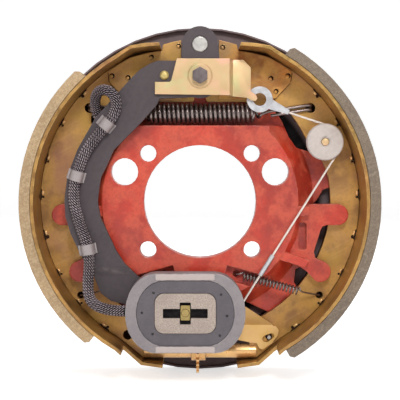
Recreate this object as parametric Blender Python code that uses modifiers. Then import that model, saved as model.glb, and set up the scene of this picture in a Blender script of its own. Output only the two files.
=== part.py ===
"""Electric drum brake for a trailer axle, 12-1/4 x 3-3/8 in.

Units are millimetres in the sizes below and metres in the scene. +Z points up to the anchor
post, -Y faces the drum, and the origin is the centre of the pilot bore on the mounting face.
"""

import math

import bmesh
import bpy
from mathutils import Matrix, Vector

MM = 0.001

# Driving dimensions, in mm.
# Clearances
GAP = 0.3
RUN = 0.4
WEAR_GAP = 0.7

# Shoes
LINING_RADIUS = 155.0
LINING_THICK = 9.2
LINING_BEVEL = 3.0
SHOE_WIDTH = 86.0
SHOE_MID_Y = 8.0
TABLE_THICK = 3.0
TABLE_END_DEG = 75.7
TABLE_STEP_DEG = 62.3
TABLE_TAIL_SETBACK = 27.0
TABLE_TAIL_X = 33.0
TABLE_TAIL_RISE = 1.5
TABLE_KNEE_X = 52.0
TABLE_KNEE_DIP = 1.2
WEB_THICK = 6.0
WEB_RADIUS_IN = 116.5
WEB_SHOULDER = 6.9
WEB_TIP_RISE = 1.8
WEB_TOP_Z = 88.0
WEB_TIP_X = 5.4
WEB_FOOT_X = 44.0
WEB_HOLE_RADIUS = 4.3
DOUBLER_THICK = 3.0
PRIMARY_LINING_DEG = (132.5, 231.5)
SECONDARY_LINING_DEG = (-59.7, 59.7)

# Spider casting
BORE_RADIUS = 49.3
FLANGE_THICK = 12.7
FLANGE_RADIUS = 86.0
DISH_RADIUS = 102.0
RIM_RADIUS = 120.0
RIM_THICK = 8.6
BOLT_CIRCLE_RADIUS = 62.0
BOLT_ANGLE = 42.8
BOLT_HOLE_RADIUS = 7.3
WINDOW_CIRCLE_RADIUS = 71.0
WINDOW_ANGLE = 21.4
WINDOW_RADIUS = 12.0
SHELF_Z = 66.5
LOBE_RADIUS = 9.3
LOBE_THICK = 9.2
HOLD_HOLE = (31.8, -64.0)
HOLD_HOLE_RADIUS = 3.0
HOLD_HOLE_FLOOR = 3.0
HOLD_BOSS_WALL = 2.4
HOLD_GROOVE_FLOOR = 3.6

# Anchor
ANCHOR_Z = 109.0
ANCHOR_RADIUS = 12.5
ANCHOR_COLLAR_RADIUS = 12.0
ANCHOR_JOURNAL_RADIUS = 9.0
ANCHOR_SHANK_RADIUS = 8.0
ANCHOR_BOLT_RADIUS = 4.0
ANCHOR_HEAD_FLATS = 12.6
ANCHOR_HEAD_THICK = 5.6
ANCHOR_WASHER_RADIUS = 11.0
ANCHOR_WASHER_THICK = 1.5
ANCHOR_NUT_FLATS = 24.0
ANCHOR_NUT_THICK = 8.0

# Lever arm
LEVER_FRONT_Y = -24.0
LEVER_THICK = 6.0
LEVER_CRANK = 4.9
LEVER_CRANK_Z = -55.0
LEVER_CRANK_RUN = 8.0
LEVER_HUB_RADIUS = 19.0
CAM_Z = 136.6
CAM_RADIUS = 16.4
CAM_FLAT_Z = 124.0
CAM_HEAD_RADIUS = 15.6
CAM_PIN_RADIUS = 6.9
CAM_NECK_RADIUS = 10.5
STOP_RIVET = (-30.8, 109.6)
STOP_RIVET_RADIUS = 4.0
STOP_RIVET_THICK = 2.6
LEVER_SWING_DEG = 3.0

# Cable bracket on the anchor
BRACKET_THICK = 3.0
BRACKET_STEP = 12.8
BRACKET_BEND_X = 25.6

# Magnet
MAGNET_X = -12.5
MAGNET_Z = -93.6
MAGNET_FACE_Y = -41.0
MAGNET_THICK = 18.6
MAGNET_HALF = (51.2, 33.8)
MAGNET_TRAVEL = 3.0
POTTING_HALF = (41.5, 27.5)
POTTING_RECESS = 0.8
POTTING_DEPTH = 13.0
CORE_HALF = (25.9, 16.9)
CORE_CORNER = 8.0
CORE_SLOT = (38.0, 8.0)
CORE_CROSS = (9.4, 18.7)
CORE_SLOT_DEPTH = 5.2
POST_RADIUS = 3.2
POST_SEAT_RADIUS = 13.0
CLIP_SIZE = (8.0, 7.2)
CLIP_THICK = 1.2
MAGNET_SPRING_RADIUS = 9.0
MAGNET_SPRING_WIRE = 1.4
MAGNET_SPRING_TURNS = 3
MAGNET_SPRING_STEPS = 12

# Lead
SLEEVE_RADIUS = 4.9
LEAD_NOTCH = (-88.7, 72.4)
LEAD_NOTCH_RADIUS = 8.6
LEAD_SPLIT_Y = 11.5
LEAD_HOLE = (-103.6, 84.5)
GROMMET_RADIUS = 8.4
GROMMET_LIP = 1.8
CLIP_WALL = 0.8
CLIP_WIDTH = 9.0

# Springs
RETRACTOR_RADIUS = 7.9
RETRACTOR_WIRE = 2.9
RETRACTOR_TURNS = 22
RETRACTOR_X = (-43.5, 46.0)
RETRACTOR_Y = 1.0
RETRACTOR_Z = 77.2
RETRACTOR_HOLE = (98.8, 82.6)
HOLD_RADIUS = 3.2
HOLD_WIRE = 1.5
HOLD_TURNS = 17
HOLD_WEB_HOLE = (106.6, -84.5)
HOLD_WEB_HOLE_RADIUS = 3.2
ADJUSTER_SPRING_RADIUS = 3.0
ADJUSTER_SPRING_WIRE = 1.5
ADJUSTER_SPRING_TURNS = 16
ADJUSTER_SPRING_HOLE = (50.0, -110.0)
ADJUSTER_SPRING_HOLE_RADIUS = 2.4
ADJUSTER_SPRING_Y = 15.6

# Cable, pulley and eyelet
CABLE_RADIUS = 1.0
PULLEY = (109.3, 52.1)
PULLEY_RADIUS = 16.2
PULLEY_GROOVE_RADIUS = 14.5
PULLEY_THICK = 8.0
PULLEY_MID_Y = -13.0
PULLEY_STUD_RADIUS = 5.0
PULLEY_PIN_RADIUS = 3.3
EYELET = (52.4, 89.4)
EYELET_RADIUS = 11.4
EYELET_HOLE_RADIUS = 5.7
EYELET_THICK = 2.7
EYELET_Y = -10.2
EYELET_TAIL_END = (78.0, 78.0)
CABLE_HOOK = (32.5, -95.5)
CABLE_HOOK_Y = -16.5
FERRULE_RADIUS = 2.0

# Adjuster
ADJUSTER_Z = -134.5
ADJUSTER_TUBE_RADIUS = 6.2
ADJUSTER_END_X = 50.0
ADJUSTER_THREAD_RADIUS = 4.2
ADJUSTER_BORE_END = 32.0
STAR_X = -2.1
STAR_THICK = 2.5
STAR_RADIUS = 19.5
STAR_ROOT_RADIUS = 16.6
STAR_TEETH = 24
COLLAR_RADIUS = 8.7
COLLAR_X = (-7.7, 4.9)
PAWL_THICK = 3.0
PAWL_PIVOT = (61.4, -121.5)
PAWL_FOLD_Z = -111.5
PAWL_FLAP_LEAN = 14.5

# Dust shield
SHIELD_RADIUS = 159.2
SHIELD_THICK = 1.6
SHIELD_SEAT_WIDTH = 25.0
SHIELD_SHOE_CLEARANCE = 18.5
SHIELD_STEP_RUN = 6.5
SHIELD_RIM_Y = 53.0
SHIELD_LIP = 8.5
SCREW_ANGLES = (15.0, 165.0, -50.0, -130.0)
SCREW_RADIUS = 3.0
SCREW_HEAD_FLATS = 10.0
SCREW_HEAD_THICK = 4.0
SCREW_DEPTH = 6.0
PLUG_CIRCLE_RADIUS = 139.0
PLUG_HALF = (11.0, 4.5)
PLUG_SPREAD_DEG = 9.0

# Sizes that follow from the driving ones.
SHOE_FRONT_Y = SHOE_MID_Y - SHOE_WIDTH / 2
SHOE_BACK_Y = SHOE_MID_Y + SHOE_WIDTH / 2
WEB_FRONT_Y = SHOE_MID_Y - WEB_THICK / 2
WEB_BACK_Y = SHOE_MID_Y + WEB_THICK / 2
TABLE_RADIUS = LINING_RADIUS - LINING_THICK - GAP
TABLE_RADIUS_IN = TABLE_RADIUS - TABLE_THICK
WEB_RADIUS = TABLE_RADIUS_IN - GAP
WEB_TIP_RADIUS = WEB_RADIUS + WEB_TIP_RISE
TABLE_TAIL_DROP = TABLE_RADIUS + TABLE_TAIL_RISE
TABLE_KNEE_DROP = TABLE_RADIUS - TABLE_KNEE_DIP
SHIELD_BORE_RADIUS = RIM_RADIUS - SHIELD_SEAT_WIDTH
SHIELD_DISH_RADIUS = TABLE_RADIUS_IN - SHIELD_SHOE_CLEARANCE
SHIELD_FLAT_RADIUS = SHIELD_DISH_RADIUS - SHIELD_STEP_RUN
SCREW_CIRCLE_RADIUS = (SHIELD_BORE_RADIUS + SHIELD_FLAT_RADIUS) / 2 + GAP
WEB_END_X = CAM_RADIUS + GAP
RIM_FRONT_Y = WEB_BACK_Y + RUN
RIM_BACK_Y = RIM_FRONT_Y + RIM_THICK
FLANGE_FRONT_Y = -FLANGE_THICK
LOBE_BACK_Y = WEB_FRONT_Y - RUN
LOBE_FRONT_Y = LOBE_BACK_Y - LOBE_THICK
LEVER_BACK_Y = LEVER_FRONT_Y + LEVER_THICK
FOOT_FRONT_Y = LEVER_FRONT_Y + LEVER_CRANK
FOOT_BACK_Y = LEVER_BACK_Y + LEVER_CRANK
POST_FRONT_Y = LEVER_FRONT_Y - GAP
BRACKET_BACK_Y = POST_FRONT_Y - GAP
BRACKET_FRONT_Y = BRACKET_BACK_Y - BRACKET_THICK
WASHER_FRONT_Y = BRACKET_FRONT_Y - GAP - ANCHOR_WASHER_THICK
BOLT_HEAD_FRONT_Y = WASHER_FRONT_Y - GAP - ANCHOR_HEAD_THICK
MAGNET_BACK_Y = MAGNET_FACE_Y + MAGNET_THICK
SLEEVE_Y = LEVER_FRONT_Y - GAP - SLEEVE_RADIUS
SHIELD_FRONT_Y = RIM_BACK_Y + GAP
SHIELD_BACK_Y = SHIELD_FRONT_Y + SHIELD_THICK
DOUBLER_FRONT_Y = WEB_FRONT_Y - GAP - DOUBLER_THICK
PULLEY_FRONT_Y = PULLEY_MID_Y - PULLEY_THICK / 2
PAWL_FRONT_Y = WEB_FRONT_Y - WEAR_GAP - PAWL_THICK

MODEL_NAME = "electric_trailer_brake"

# Colour, roughness and metallic value of each material.
FINISHES = {
    "casting_red": ((0.52, 0.06, 0.035), 0.55, 0.1),
    "shield_black": ((0.06, 0.055, 0.065), 0.5, 0.3),
    "zinc_yellow": ((0.55, 0.34, 0.10), 0.38, 0.75),
    "zinc_pale": ((0.72, 0.62, 0.40), 0.3, 0.85),
    "lining_grey": ((0.34, 0.30, 0.25), 0.9, 0.0),
    "lever_black": ((0.055, 0.055, 0.06), 0.45, 0.35),
    "steel": ((0.55, 0.55, 0.56), 0.35, 0.9),
    "spring_black": ((0.035, 0.03, 0.03), 0.35, 0.6),
    "magnet_grey": ((0.42, 0.41, 0.42), 0.55, 0.5),
    "potting_grey": ((0.17, 0.18, 0.21), 0.6, 0.0),
    "core_beige": ((0.55, 0.50, 0.44), 0.7, 0.3),
    "brass": ((0.62, 0.46, 0.14), 0.3, 0.9),
    "sleeve_black": ((0.05, 0.045, 0.05), 0.8, 0.0),
    "nylon_white": ((0.75, 0.71, 0.68), 0.45, 0.0),
    "rubber_black": ((0.02, 0.02, 0.02), 0.8, 0.0),
}

model = None
cutters = None


# Scene set-up

def clear_scene():
    """Remove every object and make the two collections."""
    global model, cutters
    for item in list(bpy.data.objects):
        bpy.data.objects.remove(item, do_unlink=True)
    model = bpy.data.collections.new(MODEL_NAME)
    cutters = bpy.data.collections.new("cutters")
    bpy.context.scene.collection.children.link(model)
    bpy.context.scene.collection.children.link(cutters)


def make_material(name, finish):
    """A Principled material for one node, in one of the finishes."""
    colour, roughness, metallic = FINISHES[finish]
    material = bpy.data.materials.new(name)
    material.use_nodes = True
    shader = material.node_tree.nodes["Principled BSDF"]
    shader.inputs["Base Color"].default_value = (*colour, 1.0)
    shader.inputs["Roughness"].default_value = roughness
    shader.inputs["Metallic"].default_value = metallic
    return material


def keep(item, finish, smooth=True):
    """Put a finished piece in the model with its own material."""
    model.objects.link(item)
    item.data.materials.clear()
    item.data.materials.append(make_material(item.name, finish))
    if smooth and item.type == "MESH":
        item.data.shade_smooth()
        item.data.set_sharp_from_angle(angle=math.radians(35))
    return item


def move_to_axis(items, x, y, z):
    """Parent the pieces of a moving body to an empty on its joint's axis."""
    axis = bpy.data.objects.new(items[0].name + "_axis", None)
    axis.location = (x * MM, y * MM, z * MM)
    model.objects.link(axis)
    for item in items:
        item.parent = axis
        item.matrix_parent_inverse = Matrix.Translation(-axis.location)


# Outlines

def polar(radius, degrees):
    """Point at a radius and an angle from +X, in the XZ plane."""
    angle = math.radians(degrees)
    return (radius * math.cos(angle), radius * math.sin(angle))


def arc(x, z, radius, start, end, step=6.0):
    """Points along an arc from one angle to another, both included."""
    count = max(2, int(round(abs(end - start) / step)))
    points = []
    for index in range(count + 1):
        px, pz = polar(radius, start + (end - start) * index / count)
        points.append((x + px, z + pz))
    return points


def disc(x, z, radius, step=15.0):
    """Closed circle as an outline."""
    return arc(x, z, radius, 0.0, 360.0, step)[:-1]


def oval(x, z, half, flat, step=12.0):
    """Outline with flat top and bottom and elliptical ends."""
    points = []
    reach = half[0] - flat
    for side, start in ((1, -90.0), (-1, 90.0)):
        for px, pz in arc(0.0, 0.0, 1.0, start, start + 180.0, step):
            points.append((x + side * flat + px * reach, z + pz * half[1]))
    return points


def rounded_box(x, z, half, corner, step=15.0):
    """Rectangle with round corners."""
    points = []
    for index, (sx, sz) in enumerate(((1, 1), (-1, 1), (-1, -1), (1, -1))):
        cx = x + sx * (half[0] - corner)
        cz = z + sz * (half[1] - corner)
        points += arc(cx, cz, corner, index * 90.0, index * 90.0 + 90.0, step)
    return points


def spread(points, step=5.0):
    """Polar curve through (degrees, radius) points, its radius running evenly between them."""
    out = []
    for (a0, r0), (a1, r1) in zip(points, points[1:]):
        count = max(1, int(round(abs(a1 - a0) / step)))
        for index in range(count):
            part = index / count
            out.append(polar(r0 + (r1 - r0) * part, a0 + (a1 - a0) * part))
    out.append(polar(points[-1][1], points[-1][0]))
    return out


def mirror(points):
    """The same outline on the other side of X = 0."""
    return [(-x, z) for x, z in reversed(points)]


def circle_contact(point, centre, radius, side):
    """Where a line from a point touches a circle, on one side of it."""
    dx = point[0] - centre[0]
    dz = point[1] - centre[1]
    base = math.atan2(dz, dx)
    reach = math.acos(radius / math.hypot(dx, dz))
    angle = base + side * reach
    return (centre[0] + radius * math.cos(angle), centre[1] + radius * math.sin(angle))


# Solids

def to_mesh(item):
    """A mesh object with the evaluated shape and place of a curve object."""
    bpy.context.scene.collection.objects.link(item)
    bpy.context.view_layer.update()
    graph = bpy.context.evaluated_depsgraph_get()
    mesh = bpy.data.meshes.new_from_object(item.evaluated_get(graph))
    solid = bmesh.new()
    solid.from_mesh(mesh)
    bmesh.ops.remove_doubles(solid, verts=solid.verts, dist=0.000001)
    bmesh.ops.recalc_face_normals(solid, faces=solid.faces)
    solid.to_mesh(mesh)
    solid.free()
    name = item.name
    world = item.matrix_world.copy()
    bpy.data.objects.remove(item, do_unlink=True)
    result = bpy.data.objects.new(name, mesh)
    result.name = name
    result.matrix_world = world
    return result


def plate(name, outline, front_y, back_y, holes=()):
    """A flat outline in the XZ plane, made solid between two depths."""
    curve = bpy.data.curves.new(name, "CURVE")
    curve.dimensions = "2D"
    curve.fill_mode = "BOTH"
    curve.extrude = (back_y - front_y) / 2 * MM
    for loop in (outline, *holes):
        spline = curve.splines.new("POLY")
        spline.points.add(len(loop) - 1)
        for point, (x, z) in zip(spline.points, loop):
            point.co = (x * MM, z * MM, 0.0, 1.0)
        spline.use_cyclic_u = True
    item = bpy.data.objects.new(name, curve)
    item.rotation_euler = (math.pi / 2, 0.0, 0.0)
    item.location = (0.0, (front_y + back_y) / 2 * MM, 0.0)
    return to_mesh(item)


def section(name, outline, left_x, right_x):
    """An outline in the YZ plane, made solid between two X places."""
    item = plate(name, outline, left_x, right_x)
    turn = Matrix.Diagonal((-1.0, 1.0, 1.0, 1.0)) @ Matrix.Rotation(math.pi / 2, 4, "Z")
    item.data.transform(turn @ item.matrix_world)
    item.data.flip_normals()
    item.matrix_world = Matrix.Identity(4)
    return item


def box(name, low, high):
    """A box between two corners."""
    mesh = bpy.data.meshes.new(name)
    solid = bmesh.new()
    bmesh.ops.create_cube(solid, size=1.0)
    size = [(b - a) * MM for a, b in zip(low, high)]
    centre = [(a + b) / 2 * MM for a, b in zip(low, high)]
    bmesh.ops.scale(solid, vec=size, verts=solid.verts)
    bmesh.ops.translate(solid, vec=centre, verts=solid.verts)
    solid.to_mesh(mesh)
    solid.free()
    return bpy.data.objects.new(name, mesh)


def turned(name, profile, place=(0.0, 0.0, 0.0), axis="Y", steps=32, closed=False):
    """A turned shape. The profile is (radius, depth) from its front end to its back end."""
    mesh = bpy.data.meshes.new(name)
    points = [(radius * MM, 0.0, -depth * MM) for radius, depth in profile]
    edges = [(index, index + 1) for index in range(len(points) - 1)]
    if closed:
        edges.append((len(points) - 1, 0))
    mesh.from_pydata(points, edges, [])
    item = bpy.data.objects.new(name, mesh)
    screw = item.modifiers.new("Turn", "SCREW")
    screw.axis = "Z"
    screw.angle = math.tau
    screw.steps = steps
    screw.render_steps = steps
    screw.use_merge_vertices = True
    screw.merge_threshold = 0.00001
    screw.use_normal_calculate = False
    if axis == "Y":
        item.rotation_euler = (math.pi / 2, 0.0, 0.0)
    if axis == "X":
        item.rotation_euler = (0.0, -math.pi / 2, 0.0)
    item.location = [value * MM for value in place]
    return item


def prism(name, x, z, flats, front_y, back_y, sides=6):
    """A hexagon bar along Y, by its width across flats."""
    radius = flats / 2 / math.cos(math.pi / sides)
    outline = [polar(radius, 30.0 + index * 360.0 / sides) for index in range(sides)]
    return plate(name, [(x + px, z + pz) for px, pz in outline], front_y, back_y)


def tube(name, points, radius, resolution=1):
    """A round wire or cord through points in mm."""
    curve = bpy.data.curves.new(name, "CURVE")
    curve.dimensions = "3D"
    curve.bevel_depth = radius * MM
    curve.bevel_resolution = resolution
    curve.use_fill_caps = True
    spline = curve.splines.new("POLY")
    spline.points.add(len(points) - 1)
    for point, place in zip(spline.points, points):
        point.co = (place[0] * MM, place[1] * MM, place[2] * MM, 1.0)
    return bpy.data.objects.new(name, curve)


def smooth_path(points, spacing):
    """Even points along a smooth curve through a few chosen ones."""
    places = [Vector(point) for point in points]
    ends = [places[0] * 2 - places[1], *places, places[-1] * 2 - places[-2]]
    fine = []
    for p0, p1, p2, p3 in zip(ends, ends[1:], ends[2:], ends[3:]):
        for index in range(24):
            t = index / 24
            fine.append(0.5 * (2 * p1 + (p2 - p0) * t + (2 * p0 - 5 * p1 + 4 * p2 - p3) * t * t
                               + (3 * p1 - p0 - 3 * p2 + p3) * t ** 3))
    fine.append(places[-1])
    out = [fine[0]]
    travelled = 0.0
    for before, after in zip(fine, fine[1:]):
        travelled += (after - before).length
        if travelled >= spacing:
            out.append(after)
            travelled = 0.0
    if (out[-1] - places[-1]).length < spacing * 0.5:
        out.pop()
    out.append(places[-1])
    return [tuple(place) for place in out]


def coil(start, end, radius, turns, per_turn, first_angle=0.0):
    """Points of a helix between two places."""
    start = Vector(start)
    along = Vector(end) - start
    across = along.cross(Vector((0.0, 1.0, 0.0))).normalized()
    depth = along.normalized().cross(across)
    points = []
    total = int(turns * per_turn)
    for index in range(total + 1):
        angle = math.radians(first_angle) + math.tau * index / per_turn
        offset = across * math.cos(angle) + depth * math.sin(angle)
        points.append(tuple(start + along * (index / total) + offset * radius))
    return points


def combine(target, tool, operation):
    """Union, difference or intersection with another mesh object."""
    change = target.modifiers.new(tool.name, "BOOLEAN")
    change.operation = operation
    change.solver = "EXACT"
    change.object = tool
    cutters.objects.link(tool)
    tool.hide_render = True
    tool.display_type = "WIRE"


def add(target, tool):
    combine(target, tool, "UNION")


def cut(target, tool):
    combine(target, tool, "DIFFERENCE")


def within(target, tool):
    combine(target, tool, "INTERSECT")


# Shoes: every outline is drawn for the right-hand shoe and mirrored for the left

def side_of(outline, side):
    return outline if side > 0 else mirror(outline)


def table_outline():
    """The shoe's rim: a band whose top end dips in and whose bottom end runs out straight."""
    top = ((-60.0, TABLE_RADIUS), (60.0, TABLE_RADIUS), (66.0, TABLE_RADIUS + 1.6),
           (TABLE_END_DEG, TABLE_RADIUS - 3.9))
    outer = [(TABLE_TAIL_X, -TABLE_TAIL_DROP), (TABLE_KNEE_X, -TABLE_KNEE_DROP)] + spread(top)
    inner_top = [(angle, radius - TABLE_THICK) for angle, radius in top]
    inner = [(TABLE_TAIL_X, -TABLE_TAIL_DROP + TABLE_THICK),
             (TABLE_KNEE_X - 1.4, -TABLE_KNEE_DROP + TABLE_THICK)] + spread(inner_top)
    return outer + inner[::-1]


def web_outline():
    """The shoe's web, from its half-round seat at the anchor to its foot at the adjuster."""
    rim = spread(((-60.0, WEB_RADIUS), (64.0, WEB_RADIUS), (TABLE_END_DEG, WEB_RADIUS - 3.9)))
    tip = spread(((TABLE_END_DEG + 1.0, WEB_TIP_RADIUS - 1.0), (83.3, WEB_TIP_RADIUS)), 3.0)
    shoulder = WEB_RADIUS_IN - WEB_SHOULDER
    bore = spread(((61.5, shoulder - 12.6), (56.0, shoulder - 6.6), (50.0, shoulder - 0.1),
                   (44.0, shoulder + 2.4), (30.0, shoulder), (19.0, WEB_RADIUS_IN - 2.0),
                   (10.0, WEB_RADIUS_IN), (-35.0, WEB_RADIUS_IN), (-62.0, WEB_RADIUS_IN + 1.0)))
    foot = [(47.0, -105.4), (WEB_FOOT_X, -109.0), (WEB_FOOT_X, -TABLE_KNEE_DROP + 4.2),
            (TABLE_KNEE_X - 1.6, -TABLE_KNEE_DROP + 4.2)]
    seat = [(WEB_END_X, WEB_TOP_Z + 53.0), (WEB_END_X, CAM_FLAT_Z)]
    seat += arc(0.0, ANCHOR_Z, ANCHOR_RADIUS + GAP, 60.0, -65.0, 12.0)
    end = [(WEB_TIP_X, WEB_TOP_Z + 1.5), (WEB_TIP_X + 1.5, WEB_TOP_Z), (40.0, WEB_TOP_Z)]
    return foot + rim + tip + seat + end + bore


def doubler_outline():
    """The plate that stiffens the web beside the anchor."""
    rim = spread(((54.5, WEB_RADIUS - 1.5), (64.0, WEB_RADIUS - 0.6), (TABLE_END_DEG, WEB_RADIUS - 4.4)))
    tip = spread(((TABLE_END_DEG + 1.2, WEB_TIP_RADIUS - 1.2), (83.2, WEB_TIP_RADIUS - 0.2)), 3.0)
    inner = [(WEB_END_X, WEB_TOP_Z + 52.0), (WEB_END_X, WEB_TOP_Z + 2.0), (41.6, WEB_TOP_Z + 1.5),
             (67.4, WEB_TOP_Z + 3.0), (80.5, 105.0)]
    return rim + tip + inner


def lining_outline(start, end):
    """A friction block with bevelled ends."""
    bevel = math.degrees(LINING_BEVEL / LINING_RADIUS)
    low = LINING_RADIUS - LINING_THICK
    outer = arc(0.0, 0.0, LINING_RADIUS, start + bevel, end - bevel, 4.0)
    ends = [polar(LINING_RADIUS - LINING_BEVEL, end), polar(low, end)]
    inner = arc(0.0, 0.0, low, end, start, 4.0)
    return outer + ends + inner[1:] + [polar(LINING_RADIUS - LINING_BEVEL, start)]


def make_shoe(side, name, lining_span):
    """Lining, table, web and doubler of one shoe."""
    table = plate(name + "_table", side_of(table_outline(), side), SHOE_FRONT_Y, SHOE_BACK_Y)
    step = polar(TABLE_RADIUS, -TABLE_STEP_DEG)
    low_x, high_x = sorted((0.0, side * step[0]))
    cut(table, box(name + "_table_step", (low_x, SHOE_FRONT_Y - 5, -LINING_RADIUS),
                   (high_x, SHOE_FRONT_Y + TABLE_TAIL_SETBACK, step[1] + 8.0)))
    holes = [disc(side * RETRACTOR_HOLE[0], RETRACTOR_HOLE[1], WEB_HOLE_RADIUS),
             disc(side * HOLD_WEB_HOLE[0], HOLD_WEB_HOLE[1], HOLD_WEB_HOLE_RADIUS),
             disc(side * ADJUSTER_SPRING_HOLE[0], ADJUSTER_SPRING_HOLE[1], ADJUSTER_SPRING_HOLE_RADIUS, 30.0)]
    if side > 0:
        holes.append(disc(*PULLEY, PULLEY_PIN_RADIUS + GAP, 30.0))
        holes.append(disc(*PAWL_PIVOT, 3.0, 30.0))
    else:
        holes.append(disc(-64.5, -120.0, WEB_HOLE_RADIUS))
    web = plate(name + "_web", side_of(web_outline(), side), WEB_FRONT_Y, WEB_BACK_Y, holes)
    if side < 0:
        slot = arc(*LEAD_NOTCH, LEAD_NOTCH_RADIUS, 45.0, 225.0, 20.0) + [(-96.0, 55.0), (-60.0, 55.0)]
        cut(web, plate(name + "_web_notch", slot, WEB_FRONT_Y - 5, WEB_BACK_Y + 5))
    doubler = plate(name + "_doubler", side_of(doubler_outline(), side), DOUBLER_FRONT_Y,
                    WEB_FRONT_Y - GAP)
    lining = plate(name + "_lining", lining_outline(*lining_span), SHOE_FRONT_Y, SHOE_BACK_Y)
    keep(table, "zinc_yellow")
    keep(web, "zinc_yellow")
    keep(doubler, "zinc_yellow")
    keep(lining, "lining_grey")
    return [table, web, doubler, lining]


# Spider casting

def casting_outline():
    """Front view of the casting's dish and arms, the right half."""
    return [(0.0, RIM_RADIUS), (22.0, RIM_RADIUS - 1.0), (34.0, 98.0), (69.4, 78.0), (74.0, 70.0),
            (79.3, 56.4), (86.0, 47.2), (97.0, 43.8), (116.0, 40.0), (125.0, 24.0), (118.0, 12.0),
            (110.3, 9.3), (105.2, 0.3), (100.0, -5.0), (100.0, -56.0), (86.0, -62.0), (84.5, -73.4),
            (92.0, -86.0), (72.0, -104.0), (62.0, -100.9), (42.4, -91.8), (38.0, -88.0),
            (0.0, -88.0)]


def lobe_outline():
    """The bar in front of the web, with its two round lobes."""
    upper = arc(121.8, -12.1, LOBE_RADIUS, 90.0, -90.0, 20.0)
    lower = arc(106.3, -62.4, LOBE_RADIUS, 62.0, -118.0, 20.0)
    return [(80.0, -2.8)] + upper + [(112.0, -21.4), (108.2, -22.6), (106.4, -26.0), (100.6, -45.0),
                                     (102.0, -50.5)] + lower + [(94.0, -62.0), (76.0, -50.0)]


def make_casting():
    """The dished spider that carries the brake."""
    profile = [(BORE_RADIUS, FLANGE_FRONT_Y), (FLANGE_RADIUS, FLANGE_FRONT_Y),
               (DISH_RADIUS, RIM_FRONT_Y), (RIM_RADIUS, RIM_FRONT_Y), (RIM_RADIUS, RIM_BACK_Y),
               (DISH_RADIUS - 4.0, RIM_BACK_Y), (FLANGE_RADIUS - 2.0, 0.0), (BORE_RADIUS, 0.0)]
    spider = turned("backing_spider", profile, steps=48, closed=True)
    half = casting_outline()
    outline = half + mirror(half)[1:-1]
    within(spider, plate("casting_shape", outline, -40.0, 60.0))
    shelf = 14.0
    cut(spider, box("casting_shelf", (-80.0, FLANGE_FRONT_Y - shelf, SHELF_Z),
                    (80.0, RIM_FRONT_Y - 0.1, RIM_RADIUS + shelf)))
    arm = [(20.0, RIM_RADIUS - 2.2), (33.0, 97.0), (68.2, 77.0), (72.8, 69.6), (70.0, 60.3)]
    add(spider, plate("casting_arm", arm + mirror(arm), RIM_FRONT_Y + 0.2, RIM_BACK_Y - 0.2))
    wall = [(61.0, SHELF_Z - 0.3), (61.0, 58.2)]
    add(spider, plate("casting_wall", wall + mirror(wall), FLANGE_FRONT_Y + 0.3,
                      RIM_BACK_Y - 0.4))
    for side, label in ((1, "right"), (-1, "left")):
        add(spider, plate("casting_lobes_" + label, side_of(lobe_outline(), side), LOBE_FRONT_Y,
                          LOBE_BACK_Y))
        rib_top = [(74.0, -4.0), (96.0, -4.4), (96.0, -12.0), (74.0, -15.0)]
        rib_low = [(63.0, -40.0), (96.0, -52.0), (92.0, -58.0), (66.0, -50.0)]
        for place, rib in (("upper", rib_top), ("lower", rib_low)):
            add(spider, plate("casting_rib_" + place + "_" + label, side_of(rib, side),
                              FLANGE_FRONT_Y + 0.6, LOBE_BACK_Y - 0.6))
        pocket = rounded_box(side * 90.5, -31.0, (3.6, 12.0), 2.0, 45.0)
        cut(spider, plate("casting_pocket_" + label, pocket, LOBE_FRONT_Y - 9, LOBE_FRONT_Y + 6))
        groove = box("casting_groove_" + label, (-10.0, FLANGE_FRONT_Y - 9, -6.8),
                     (64.0, -HOLD_GROOVE_FLOOR, 5.6))
        aim = math.atan2(HOLD_WEB_HOLE[1] - HOLD_HOLE[1], HOLD_WEB_HOLE[0] - HOLD_HOLE[0])
        groove.data.transform(Matrix.Translation((HOLD_HOLE[0] * MM, 0.0, HOLD_HOLE[1] * MM))
                              @ Matrix.Rotation(-aim, 4, "Y"))
        if side < 0:
            groove.data.transform(Matrix.Diagonal((-1.0, 1.0, 1.0, 1.0)))
            groove.data.flip_normals()
        cut(spider, groove)
        boss = disc(side * HOLD_HOLE[0], HOLD_HOLE[1], HOLD_HOLE_RADIUS + HOLD_BOSS_WALL, 30.0)
        add(spider, plate("casting_hold_boss_" + label, boss, -1.0, HOLD_HOLE_FLOOR + HOLD_BOSS_WALL))
        hooks = disc(side * HOLD_HOLE[0], HOLD_HOLE[1], HOLD_HOLE_RADIUS, 30.0)
        cut(spider, plate("casting_hold_hole_" + label, hooks, -40.0, HOLD_HOLE_FLOOR))
    for index, angle in enumerate((BOLT_ANGLE, 180 - BOLT_ANGLE, 180 + BOLT_ANGLE, -BOLT_ANGLE)):
        hole = disc(*polar(BOLT_CIRCLE_RADIUS, angle), BOLT_HOLE_RADIUS, 24.0)
        cut(spider, plate("casting_bolt_hole_%d" % (index + 1), hole, -40.0, 40.0))
    for index, angle in enumerate((WINDOW_ANGLE, 180 - WINDOW_ANGLE)):
        hole = disc(*polar(WINDOW_CIRCLE_RADIUS, angle), WINDOW_RADIUS, 20.0)
        cut(spider, plate("casting_window_%d" % (index + 1), hole, -40.0, 40.0))
    seat = disc(0.0, ANCHOR_Z, ANCHOR_SHANK_RADIUS + GAP)
    cut(spider, plate("casting_anchor_hole", seat, -40.0, 40.0))
    for index, angle in enumerate(SCREW_ANGLES):
        hole = disc(*polar(SCREW_CIRCLE_RADIUS, angle), SCREW_RADIUS + GAP, 30.0)
        cut(spider, plate("casting_screw_hole_%d" % (index + 1), hole,
                          RIM_BACK_Y - SCREW_DEPTH - GAP, RIM_BACK_Y + 5))
    keep(spider, "casting_red")


# Dust shield

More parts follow.
